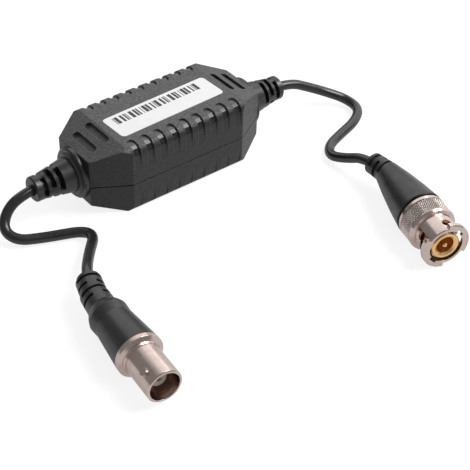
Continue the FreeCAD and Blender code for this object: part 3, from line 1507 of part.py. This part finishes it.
def write(model):
    os.makedirs("parts", exist_ok=True)
    for item in model.parts:
        item.Shape.exportStep(f"parts/{item.Label}.step")
        print(f"{item.Label}: {len(item.Shape.Solids)} solid, {item.Shape.Volume:.2f} mm3")


isolator = Model()
build(isolator)
check(isolator)
write(isolator)
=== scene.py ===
import json
import math

import bpy
from mathutils import Matrix, Vector


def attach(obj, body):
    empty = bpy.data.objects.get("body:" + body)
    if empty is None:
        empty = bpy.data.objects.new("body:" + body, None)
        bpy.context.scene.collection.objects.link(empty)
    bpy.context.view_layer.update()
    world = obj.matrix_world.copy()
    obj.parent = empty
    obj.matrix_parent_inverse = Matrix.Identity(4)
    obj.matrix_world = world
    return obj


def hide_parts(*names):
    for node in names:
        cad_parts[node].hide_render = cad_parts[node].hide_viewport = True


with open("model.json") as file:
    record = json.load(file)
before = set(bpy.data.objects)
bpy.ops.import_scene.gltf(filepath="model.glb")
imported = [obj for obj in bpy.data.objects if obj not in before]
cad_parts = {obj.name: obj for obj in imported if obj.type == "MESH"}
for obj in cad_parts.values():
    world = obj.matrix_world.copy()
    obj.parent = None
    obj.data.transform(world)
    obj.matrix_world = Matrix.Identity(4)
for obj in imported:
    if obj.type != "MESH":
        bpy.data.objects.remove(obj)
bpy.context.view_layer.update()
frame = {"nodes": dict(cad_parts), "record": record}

MM = 0.001

# Camera, matched to the photograph
CAMERA_PLACE = (-176.0, -249.26, 225.36)
CAMERA_RIGHT = (0.7850, -0.6189, 0.0247)
CAMERA_UP = (0.3799, 0.5126, 0.7701)
CAMERA_BACK = (-0.4893, -0.5951, 0.6375)
CAMERA_LENS = 97.66
SENSOR_WIDTH = 36.0
CLIP_START = 0.01
CLIP_END = 20.0

# Leads: the routes of part.py, from the strain relief's tip into the boot
CABLE_DIAMETER = 3.0
CABLE_ROUNDNESS = 10
CABLE_STEPS = 24
RELIEF_TIP = 42.6
LEAD_HEIGHT = 10.3
JACK_LEAD_ROUTE = (
    (-RELIEF_TIP, 0.0, LEAD_HEIGHT),
    (-48.2, -0.2, 9.9),
    (-52.6, -0.6, 7.0),
    (-55.4, -3.4, 3.8),
    (-53.6, -7.5, 2.1),
    (-47.8, -9.8, 1.6),
    (-41.4, -12.3, 1.6),
    (-38.0, -13.8, 1.7),
    (-36.0, -16.5, 2.1),
    (-37.0, -19.7, 2.7),
    (-40.3, -23.4, 3.6),
    (-44.4, -28.4, 4.8),
    (-48.10, -33.73, 6.35),
    (-50.11, -38.20, 6.35),
    (-51.67, -42.95, 6.35),
)
PLUG_LEAD_ROUTE = (
    (RELIEF_TIP, 0.0, LEAD_HEIGHT),
    (48.8, -0.3, 10.0),
    (54.6, -2.4, 7.4),
    (60.6, -4.8, 4.4),
    (65.4, -8.8, 2.2),
    (65.6, -14.8, 1.6),
    (59.6, -19.2, 1.6),
    (51.6, -21.6, 1.6),
    (44.8, -24.0, 1.6),
    (41.2, -28.4, 1.9),
    (42.2, -34.0, 3.8),
    (44.03, -40.37, 7.0),
    (44.06, -49.17, 7.0),
)

# Grip pockets of the housing, whose walls are smooth where the rest has a grain
POCKET_PITCH = 4.4
POCKET_WIDTH = 2.2
POCKETS_REACH = 18.8
POCKETS_INNER = 9.0
POCKET_UPPER = (13.6, 20.9)
POCKET_LOWER = (-1.0, 5.0)
POCKET_POLISH = 0.19
# Height band of the parting line, whose groove is painted with shade
SEAM = (9.0, 9.4)

# Coupling nut: front, heading and the knurled band
NUT_FRONT = (34.0, -82.9, 7.0)
NUT_HEADING = 73.4
KNURL_FRONT = 8.23
KNURL_BACK = 12.97
KNURL_CREST = 6.995
KNURL_ROOT = 6.86
KNURL_AROUND = 60
KNURL_ROWS = 6

# Jack: mouth and heading, and the tip of its post, which stands forward of the solid
JACK_MOUTH = (-55.8, -79.0, 6.35)
JACK_HEADING = 84.2
POST_TIP = ((3.85, 0.7), (2.85, 0.7), (2.85, 1.95), (3.10, 2.2), (3.85, 2.2))
POST_SIDES = 48

# Print on the label: plain bars that encode nothing
LABEL_MIDDLE = (0.0, -1.4)
LABEL_TURN = 2.2
LABEL_TOP = 21.32
BARS_START = -15.6
BARS_END = 13.2
BARS_LOW = 0.6
BARS_HIGH = 4.0
BAR_UNIT = 0.26
BAR_FILM = 0.012
BAR_STRIDE, BAR_WIDTHS = 7, 4
GAP_STRIDE, GAP_WIDTHS = 5, 3

# Edges, painted as highlights on the housing and paler as rubbed plating: how finely they are looked
# for, and how quickly they show
EDGE_SAMPLES = 6
EDGE_GAIN = 6.0

# Housing: its colours
HOUSING_DARK = (0.015, 0.0152, 0.0156)
HOUSING_PALE = (0.021, 0.0213, 0.0218)
HOUSING_SPECKLE = (0.050, 0.0505, 0.051)
# Painted light: paler colour on faces that point up, for a brighter lit top
HOUSING_TOP_LIGHT = (0.14, 0.14, 0.141)
# Painted highlight along the housing's edges and roundings
HOUSING_EDGE_HIGHLIGHT = (0.085, 0.086, 0.087)
# Painted shade in the parting line's groove
HOUSING_SEAM_SHADE = (0.004, 0.004, 0.004)

# Label and ink: darker and paler colour
LABEL_TONES = ((0.92, 0.92, 0.92), (0.955, 0.955, 0.95))
INK_TONES = ((0.035, 0.035, 0.037), (0.06, 0.06, 0.062))

# Plating: its rubbed edges, and the painted shade in the knurl's grooves
PLATING_EDGE = (0.84, 0.77, 0.73)
KNURL_GROOVE_SHADE = (0.20, 0.15, 0.13)

# Finishes of the other slots: darker colour, paler colour and roughness
FLEXIBLE_PLASTICS = {
    "cable_jacket": ((0.014, 0.0142, 0.0142), (0.021, 0.0213, 0.0213), 0.26),
    "boot": ((0.016, 0.0165, 0.0162), (0.023, 0.0235, 0.0232), 0.35),
}
PLATED_METALS = {
    "nickel": ((0.65, 0.515, 0.47), (0.73, 0.595, 0.55), 0.22),
}
KNURLED_METALS = {
    "knurled_nickel": ((0.90, 0.77, 0.72), (0.98, 0.86, 0.81), 0.24),
}
PLAIN_METALS = {
    "gilt": ((1.00, 0.61, 0.27), (1.00, 0.67, 0.33), 0.34),
    "spring_steel": ((0.50, 0.50, 0.51), (0.6, 0.6, 0.61), 0.28),
    "ferrule": ((0.58, 0.55, 0.53), (0.66, 0.63, 0.61), 0.30),
    "winding_wire": ((0.62, 0.27, 0.12), (0.72, 0.34, 0.16), 0.25),
    "solder": ((0.62, 0.62, 0.63), (0.72, 0.72, 0.73), 0.28),
    "copper": ((0.78, 0.42, 0.26), (0.86, 0.50, 0.33), 0.30),
}
PLAIN_PLASTICS = {
    "dielectric": ((0.58, 0.32, 0.17), (0.66, 0.38, 0.21), 0.40),
    "gasket": ((0.40, 0.14, 0.09), (0.48, 0.18, 0.12), 0.55),
    "board": ((0.03, 0.20, 0.09), (0.045, 0.26, 0.12), 0.35),
    "ferrite": ((0.055, 0.055, 0.06), (0.085, 0.085, 0.09), 0.60),
    "core_insulation": ((0.78, 0.78, 0.76), (0.86, 0.86, 0.84), 0.40),
    "post_plastic": ((0.74, 0.65, 0.57), (0.82, 0.73, 0.65), 0.45),
}

# Studio: the floor's own grey, its glow to the camera and to mirroring surfaces
FLOOR_REACH = 3.0
FLOOR_DROP = 0.02
FLOOR_GREY = 0.30
FLOOR_GLOW = 0.84
FLOOR_GLOW_MIRRORED = 0.44
WORLD_GREY = 0.24
WORLD_SEEN = 1.0

# Lights, in metres and watts: place, width, height and power
LIGHTS_AIM = (0.0, -0.03, 0.0)
LIGHTS = {
    "main": ((0.43, -0.335, 0.70), 0.46, 0.46, 5.6),
    "back": ((0.34, 0.64, 0.60), 1.05, 0.60, 1.9),
    "right": ((0.90, 0.10, 0.35), 0.90, 0.90, 2.2),
}


def millimetres(point):
    return Vector(point) * MM


# Camera and leads

def make_camera():
    data = bpy.data.cameras.new("camera")
    data.lens = CAMERA_LENS
    data.sensor_width = SENSOR_WIDTH
    data.clip_start = CLIP_START
    data.clip_end = CLIP_END
    camera = bpy.data.objects.new("camera", data)
    bpy.context.collection.objects.link(camera)
    turn = Matrix((CAMERA_RIGHT, CAMERA_UP, CAMERA_BACK)).transposed().to_4x4()
    camera.matrix_world = Matrix.Translation(millimetres(CAMERA_PLACE)) @ turn
    bpy.context.scene.camera = camera


def make_lead(name, node, route):
    """Cable as a smooth spline along the route, standing for its CAD solid."""
    curve = bpy.data.curves.new(name, "CURVE")
    curve.dimensions = "3D"
    curve.bevel_depth = 1.0
    curve.bevel_resolution = CABLE_ROUNDNESS
    curve.resolution_u = CABLE_STEPS
    curve.use_fill_caps = True
    spline = curve.splines.new("NURBS")
    spline.points.add(len(route) - 1)
    for point, place in zip(spline.points, route):
        point.co = (*millimetres(place), 1.0)
        point.radius = CABLE_DIAMETER / 2 * MM
    spline.order_u = 3
    spline.use_endpoint_u = True
    lead = bpy.data.objects.new(name, curve)
    bpy.context.collection.objects.link(lead)
    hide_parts(node)
    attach(lead, "isolator")
    return lead


# Materials

def add_node(tree, kind, **settings):
    node = tree.nodes.new(kind)
    for name, value in settings.items():
        setattr(node, name, value)
    return node


def grey(value):
    return (value, value, value, 1.0)


def colour_sockets(sockets):
    """The sockets of a mixing node that carry colours."""
    return [item for item in sockets if item.type == "RGBA"]


class Look:
    """A material being built: its node tree, its shader and short ways to add nodes."""

    def __init__(self, name):
        self.material = bpy.data.materials.new(name)
        self.material.use_nodes = True
        self.tree = self.material.node_tree
        self.shader = self.tree.nodes["Principled BSDF"]
        self.place = self.add("ShaderNodeTexCoord").outputs["Object"]

    def add(self, kind, **settings):
        return add_node(self.tree, kind, **settings)

    def link(self, start, end):
        self.tree.links.new(start, end)

    def feed(self, socket, value):
        """Link another node's output to a socket, or set the socket's own value."""
        if hasattr(value, "links"):
            self.link(value, socket)
        elif isinstance(value, tuple):
            socket.default_value = (*value, 1.0)
        else:
            socket.default_value = value

    def set(self, name, value):
        self.feed(self.shader.inputs[name], value)

    def noise(self, size, detail=3.0, roughness=0.5):
        """Noise whose patches are about this many millimetres across."""
        node = self.add("ShaderNodeTexNoise")
        node.inputs["Scale"].default_value = 1.0 / (size * MM)
        node.inputs["Detail"].default_value = detail
        node.inputs["Roughness"].default_value = roughness
        self.link(self.place, node.inputs["Vector"])
        return node.outputs["Fac"]

    def spread(self, value, low=0.0, high=1.0, start=0.3, end=0.7):
        """Carry values from start to end over to results from low to high."""
        node = self.add("ShaderNodeMapRange")
        node.inputs["From Min"].default_value = start
        node.inputs["From Max"].default_value = end
        node.inputs["To Min"].default_value = low
        node.inputs["To Max"].default_value = high
        self.link(value, node.inputs["Value"])
        return node.outputs["Result"]

    def mix(self, factor, first, second):
        node = self.add("ShaderNodeMix", data_type="RGBA")
        for socket, value in zip(colour_sockets(node.inputs), (first, second)):
            self.feed(socket, value)
        self.link(factor, node.inputs["Factor"])
        return colour_sockets(node.outputs)[0]

    def math(self, operation, first, second=0.0):
        node = self.add("ShaderNodeMath", operation=operation)
        for socket, value in zip(node.inputs, (first, second)):
            self.feed(socket, value)
        return node.outputs["Value"]

    def vector_math(self, operation, first, second):
        node = self.add("ShaderNodeVectorMath", operation=operation)
        self.link(first, node.inputs[0])
        if hasattr(second, "links"):
            self.link(second, node.inputs[1])
        else:
            node.inputs[1].default_value = second
        return node.outputs

    def axes(self, vector):
        """The X, Y and Z of a vector."""
        node = self.add("ShaderNodeSeparateXYZ")
        self.link(vector, node.inputs[0])
        return [node.outputs[axis] for axis in "XYZ"]

    def surface_normal(self):
        return self.add("ShaderNodeNewGeometry").outputs["Normal"]

    def edge(self, radius):
        """How near a sharp edge a point is, from 0 to 1, and the softened normal."""
        bevel = self.add("ShaderNodeBevel", samples=EDGE_SAMPLES)
        bevel.inputs["Radius"].default_value = radius * MM
        softened = bevel.outputs["Normal"]
        dot = self.vector_math("DOT_PRODUCT", softened, self.surface_normal())
        near = self.add("ShaderNodeMath", operation="MULTIPLY", use_clamp=True)
        self.link(self.math("SUBTRACT", 1.0, dot["Value"]), near.inputs[0])
        near.inputs[1].default_value = EDGE_GAIN
        return near.outputs["Value"], softened

    def bump(self, height, depth, normal=None, strength=1.0):
        """Raise the surface by a height from 0 to 1, over a depth in millimetres."""
        node = self.add("ShaderNodeBump")
        node.inputs["Strength"].default_value = strength
        node.inputs["Distance"].default_value = depth * MM
        self.link(height, node.inputs["Height"])
        if normal is not None:
            self.link(normal, node.inputs["Normal"])
        self.link(node.outputs["Normal"], self.shader.inputs["Normal"])


def inside(look, value, low, high):
    """1 where a value in metres lies between two limits in millimetres."""
    above = look.math("GREATER_THAN", value, low * MM)
    below = look.math("LESS_THAN", value, high * MM)
    return look.math("MULTIPLY", above, below)


def pocket_mask(look, x, y, z):
    """1 in the grip pockets, 0 elsewhere."""
    across = look.math("PINGPONG", x, POCKET_PITCH / 2 * MM)
    column = look.math("LESS_THAN", across, POCKET_WIDTH / 2 * MM)
    row = inside(look, x, -POCKETS_REACH, POCKETS_REACH)
    side = look.math("GREATER_THAN", look.math("ABSOLUTE", y), POCKETS_INNER * MM)
    upper = inside(look, z, *POCKET_UPPER)
    lower = inside(look, z, *POCKET_LOWER)
    mask = look.math("MULTIPLY", column, row)
    mask = look.math("MULTIPLY", mask, side)
    return look.math("MULTIPLY", mask, look.math("ADD", upper, lower))


def moulded_plastic():
    """Black box moulding: satin grain, smooth pockets, painted light on upward faces, painted
    highlights on edges, painted shade in the parting line.
    """
    look = Look("moulded_plastic")
    near_edge, softened = look.edge(radius=0.35)
    x, y, z = look.axes(look.place)
    pocket = pocket_mask(look, x, y, z)
    patch = look.spread(look.noise(size=9.0))
    body = look.mix(patch, HOUSING_DARK, HOUSING_PALE)
    specks = look.noise(size=0.55, roughness=0.6)
    body = look.mix(look.spread(specks, high=0.6, start=0.42, end=0.62), body, HOUSING_SPECKLE)
    # Painted light: upward faces are made paler in patches, standing for the lit top
    upward = look.spread(look.axes(look.surface_normal())[2], start=0.80, end=1.0)
    top_light_patches = look.noise(size=0.7, roughness=0.6)
    top_light_patches = look.spread(top_light_patches, low=0.3, high=0.8, start=0.38, end=0.62)
    body = look.mix(look.math("MULTIPLY", upward, top_light_patches), body, HOUSING_TOP_LIGHT)
    # Painted highlight along the housing's edges
    body = look.mix(near_edge, body, HOUSING_EDGE_HIGHLIGHT)
    # Painted shade in the parting line's groove
    look.set("Base Color", look.mix(inside(look, z, *SEAM), body, HOUSING_SEAM_SHADE))
    satin = look.spread(look.noise(size=0.9), low=0.29, high=0.38)
    look.set("Roughness", look.math("ADD", satin, look.math("MULTIPLY", pocket, -POCKET_POLISH)))
    look.set("Specular IOR Level", 0.5)
    outside_pockets = look.math("SUBTRACT", 1.0, pocket)
    grain = look.math("MULTIPLY", look.noise(size=0.45, roughness=0.6), outside_pockets)
    look.bump(grain, depth=0.16, normal=softened)
    return look.material


def flexible_plastic(name, low, high, roughness):
    """Soft black PVC of boots and cable: smooth, with faint flow marks."""
    look = Look(name)
    look.set("Base Color", look.mix(look.spread(look.noise(size=5.0)), low, high))
    look.set("Roughness", look.spread(look.noise(size=1.6), roughness - 0.05, roughness + 0.06))
    look.set("Specular IOR Level", 0.75)
    look.bump(look.noise(size=0.7, detail=4.0), depth=0.02, strength=0.3)
    return look.material


def label_film():
    """White plastic film with a faint texture."""
    look = Look("label_film")
    look.set("Base Color", look.mix(look.spread(look.noise(size=2.5, detail=4.0)), *LABEL_TONES))
    look.set("Roughness", look.spread(look.noise(size=0.8), low=0.32, high=0.42))
    look.bump(look.noise(size=0.25, detail=2.0), depth=0.01, strength=0.25)
    return look.material


def ink():
    look = Look("ink")
    look.set("Base Color", look.mix(look.noise(size=0.3), *INK_TONES))
    look.set("Roughness", look.spread(look.noise(size=0.5), low=0.42, high=0.55))
    return look.material


def nut_radius(look):
    """Distance from the coupling nut's axis, in metres."""
    heading = math.radians(NUT_HEADING)
    axis = (math.cos(heading), math.sin(heading), 0.0)
    away = look.vector_math("SUBTRACT", look.place, millimetres(NUT_FRONT))
    across = look.vector_math("CROSS_PRODUCT", away["Vector"], axis)
    length = look.add("ShaderNodeVectorMath", operation="LENGTH")
    look.link(across["Vector"], length.inputs[0])
    return length.outputs["Value"]


def cloudy_metal(name, low, high, roughness):
    """A metal's look with small cloudy patches, and the colour that they give."""
    look = Look(name)
    look.set("Metallic", 1.0)
    look.set("Roughness", look.spread(look.noise(size=0.8, detail=4.0),
                                      roughness - 0.04, roughness + 0.05))
    return look, look.mix(look.spread(look.noise(size=2.2, detail=4.0)), low, high)


def plated_metal(name, low, high, roughness):
    """Plated metal with paler edges."""
    look, tint = cloudy_metal(name, low, high, roughness)
    near_edge, softened = look.edge(radius=0.12)
    look.set("Base Color", look.mix(near_edge, tint, PLATING_EDGE))
    look.bump(look.noise(size=0.35), depth=0.006, normal=softened, strength=0.3)
    return look.material


def knurled_metal(name, low, high, roughness):
    """Plated metal with painted shade in the knurl's grooves."""
    look, tint = cloudy_metal(name, low, high, roughness)
    half_way = (KNURL_ROOT + KNURL_CREST) / 2
    height = look.spread(nut_radius(look), start=KNURL_ROOT * MM, end=half_way * MM)
    # Painted shade: darker towards the knurl's roots
    look.set("Base Color", look.mix(height, KNURL_GROOVE_SHADE, tint))
    return look.material


def plain_metal(name, low, high, roughness):
    look = Look(name)
    look.set("Metallic", 1.0)
    look.set("Base Color", look.mix(look.noise(size=1.1, detail=4.0), low, high))
    look.set("Roughness", look.spread(look.noise(size=0.6), roughness - 0.06, roughness + 0.06))
    return look.material


def plain_plastic(name, low, high, roughness):
    look = Look(name)
    look.set("Base Color", look.mix(look.noise(size=1.4), low, high))
    look.set("Roughness", look.spread(look.noise(size=0.7), roughness - 0.06, roughness + 0.06))
    return look.material


def dress_nodes():
    """Give every CAD node the material of its slot."""
    looks = {"housing": moulded_plastic(), "label_film": label_film()}
    for make, finishes in ((flexible_plastic, FLEXIBLE_PLASTICS),
                           (plated_metal, PLATED_METALS),
                           (knurled_metal, KNURLED_METALS),
                           (plain_metal, PLAIN_METALS),
                           (plain_plastic, PLAIN_PLASTICS)):
        for name, (low, high, roughness) in finishes.items():
            looks[name] = make(name, low, high, roughness)
    for part in frame["record"]["subparts"]:
        node = frame["nodes"][part["node"]]
        for slot in node.material_slots:
            slot.material = looks[part["material_slot"]]
    return looks


# Pieces that only the looks have

def new_mesh(name, points, faces, material, body):
    mesh = bpy.data.meshes.new(name)
    mesh.from_pydata(points, [], faces)
    mesh.materials.append(material)
    piece = bpy.data.objects.new(name, mesh)
    bpy.context.collection.objects.link(piece)
    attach(piece, body)
    return piece


def around_axis(origin, heading, distance, radius, angle):
    """Point behind a connector's front, at a radius and an angle around its axis, in metres."""
    turn = Matrix.Rotation(math.radians(heading), 3, "Z")
    local = Vector((distance, radius * math.cos(angle), radius * math.sin(angle)))
    return (Vector(origin) + turn @ local) * MM


def knurl(material):
    """Diamond knurl: small pyramids, cut along two families of slanted grooves."""
    around = 2 * KNURL_AROUND
    along = 2 * KNURL_ROWS
    points = []
    for row in range(along + 1):
        distance = KNURL_FRONT + (KNURL_BACK - KNURL_FRONT) * row / along
        for step in range(around):
            crest = (row + step) % 2 == 1 and 0 < row < along
            radius = KNURL_CREST if crest else KNURL_ROOT
            angle = 2 * math.pi * step / around
            points.append(around_axis(NUT_FRONT, NUT_HEADING, distance, radius, angle))
    faces = []
    for row in range(along):
        for step in range(around):
            a = row * around + step
            b = row * around + (step + 1) % around
            c, d = a + around, b + around
            if (row + step) % 2 == 0:
                faces += [(a, b, d), (a, d, c)]
            else:
                faces += [(a, b, c), (b, d, c)]
    new_mesh("grip_knurl", points, faces, material, "coupling_nut")


def post_tip(material):
    """Front of the jack's insulating post, turned around the jack's axis."""
    points = []
    for distance, radius in POST_TIP:
        for step in range(POST_SIDES):
            angle = 2 * math.pi * step / POST_SIDES
            points.append(around_axis(JACK_MOUTH, JACK_HEADING, distance, radius, angle))
    faces = []
    for ring in range(len(POST_TIP)):
        here = ring * POST_SIDES
        there = (ring + 1) % len(POST_TIP) * POST_SIDES
        for step in range(POST_SIDES):
            after = (step + 1) % POST_SIDES
            faces.append((here + step, there + step, there + after, here + after))
    new_mesh("jack_post_tip", points, faces, material, "isolator")


def label_bars(material):
    """Printed bars along the label's far side, whose widths and gaps mix a few whole units."""
    turn = Matrix.Rotation(math.radians(LABEL_TURN), 3, "Z")
    middle = Vector((*LABEL_MIDDLE, LABEL_TOP))
    points, faces = [], []
    start = BARS_START
    number = 0
    while start < BARS_END:
        width = BAR_UNIT * (1 + number * BAR_STRIDE % BAR_WIDTHS)
        first = len(points)
        for height in (0.0, BAR_FILM):
            for x, y in ((start, BARS_LOW), (start + width, BARS_LOW),
                         (start + width, BARS_HIGH), (start, BARS_HIGH)):
                points.append((middle + turn @ Vector((x, y, height))) * MM)
        faces.append(tuple(first + 4 + corner for corner in range(4)))
        faces.append(tuple(first + corner for corner in (3, 2, 1, 0)))
        for corner in range(4):
            follower = (corner + 1) % 4
            faces.append((first + corner, first + follower,
                          first + 4 + follower, first + 4 + corner))
        start += width + BAR_UNIT * (1 + number * GAP_STRIDE % GAP_WIDTHS)
        number += 1
    new_mesh("label_bars", points, faces, material, "isolator")


# Studio

def make_floor():
    """Pale plain floor that keeps a soft shadow."""
    corners = ((-1, -1), (1, -1), (1, 1), (-1, 1))
    mesh = bpy.data.meshes.new("floor")
    mesh.from_pydata([(x * FLOOR_REACH, y * FLOOR_REACH, 0) for x, y in corners], [], [(0, 1, 2, 3)])
    floor = bpy.data.objects.new("floor", mesh)
    floor.location.z = -FLOOR_DROP * MM
    bpy.context.collection.objects.link(floor)
    material = bpy.data.materials.new("floor")
    material.use_nodes = True
    tree = material.node_tree
    tree.nodes.clear()
    paths = add_node(tree, "ShaderNodeLightPath")
    diffuse = add_node(tree, "ShaderNodeBsdfDiffuse")
    diffuse.inputs["Color"].default_value = grey(FLOOR_GREY)
    mirrored = add_node(tree, "ShaderNodeMath", operation="MULTIPLY")
    mirrored.inputs[1].default_value = FLOOR_GLOW_MIRRORED
    tree.links.new(paths.outputs["Is Glossy Ray"], mirrored.inputs[0])
    strength = add_node(tree, "ShaderNodeMath", operation="MULTIPLY_ADD")
    strength.inputs[1].default_value = FLOOR_GLOW
    tree.links.new(paths.outputs["Is Camera Ray"], strength.inputs[0])
    tree.links.new(mirrored.outputs[0], strength.inputs[2])
    glow = add_node(tree, "ShaderNodeEmission")
    tree.links.new(strength.outputs[0], glow.inputs["Strength"])
    both = add_node(tree, "ShaderNodeAddShader")
    tree.links.new(diffuse.outputs[0], both.inputs[0])
    tree.links.new(glow.outputs[0], both.inputs[1])
    output = add_node(tree, "ShaderNodeOutputMaterial")
    tree.links.new(both.outputs[0], output.inputs["Surface"])
    mesh.materials.append(material)


def make_world():
    """White where the camera sees it, grey as a light."""
    world = bpy.data.worlds.new("studio")
    bpy.context.scene.world = world
    world.use_nodes = True
    tree = world.node_tree
    background = tree.nodes["Background"]
    paths = add_node(tree, "ShaderNodeLightPath")
    mix = add_node(tree, "ShaderNodeMix", data_type="RGBA")
    lit, seen = colour_sockets(mix.inputs)
    lit.default_value = grey(WORLD_GREY)
    seen.default_value = grey(WORLD_SEEN)
    tree.links.new(paths.outputs["Is Camera Ray"], mix.inputs["Factor"])
    tree.links.new(colour_sockets(mix.outputs)[0], background.inputs["Color"])
    background.inputs["Strength"].default_value = 1.0


def make_light(name, place, width, height, power):
    """Rectangular lamp that is aimed at the middle of the object."""
    data = bpy.data.lights.new(name, "AREA")
    data.shape = "RECTANGLE"
    data.size = width
    data.size_y = height
    data.energy = power
    lamp = bpy.data.objects.new(name, data)
    bpy.context.collection.objects.link(lamp)
    lamp.location = place
    aim = Vector(LIGHTS_AIM) - Vector(place)
    lamp.rotation_euler = aim.to_track_quat("-Z", "Y").to_euler()


make_camera()
leads = (
    make_lead("jack_cable", "jack_lead", JACK_LEAD_ROUTE),
    make_lead("plug_cable", "plug_lead", PLUG_LEAD_ROUTE),
)
materials = dress_nodes()
for lead in leads:
    lead.data.materials.append(materials["cable_jacket"])
knurl(materials["knurled_nickel"])
post_tip(materials["post_plastic"])
label_bars(ink())
make_floor()
make_world()
for name, (place, width, height, power) in LIGHTS.items():
    make_light(name, place, width, height, power)
bpy.context.scene.view_settings.view_transform = "Standard"

bpy.context.view_layer.update()
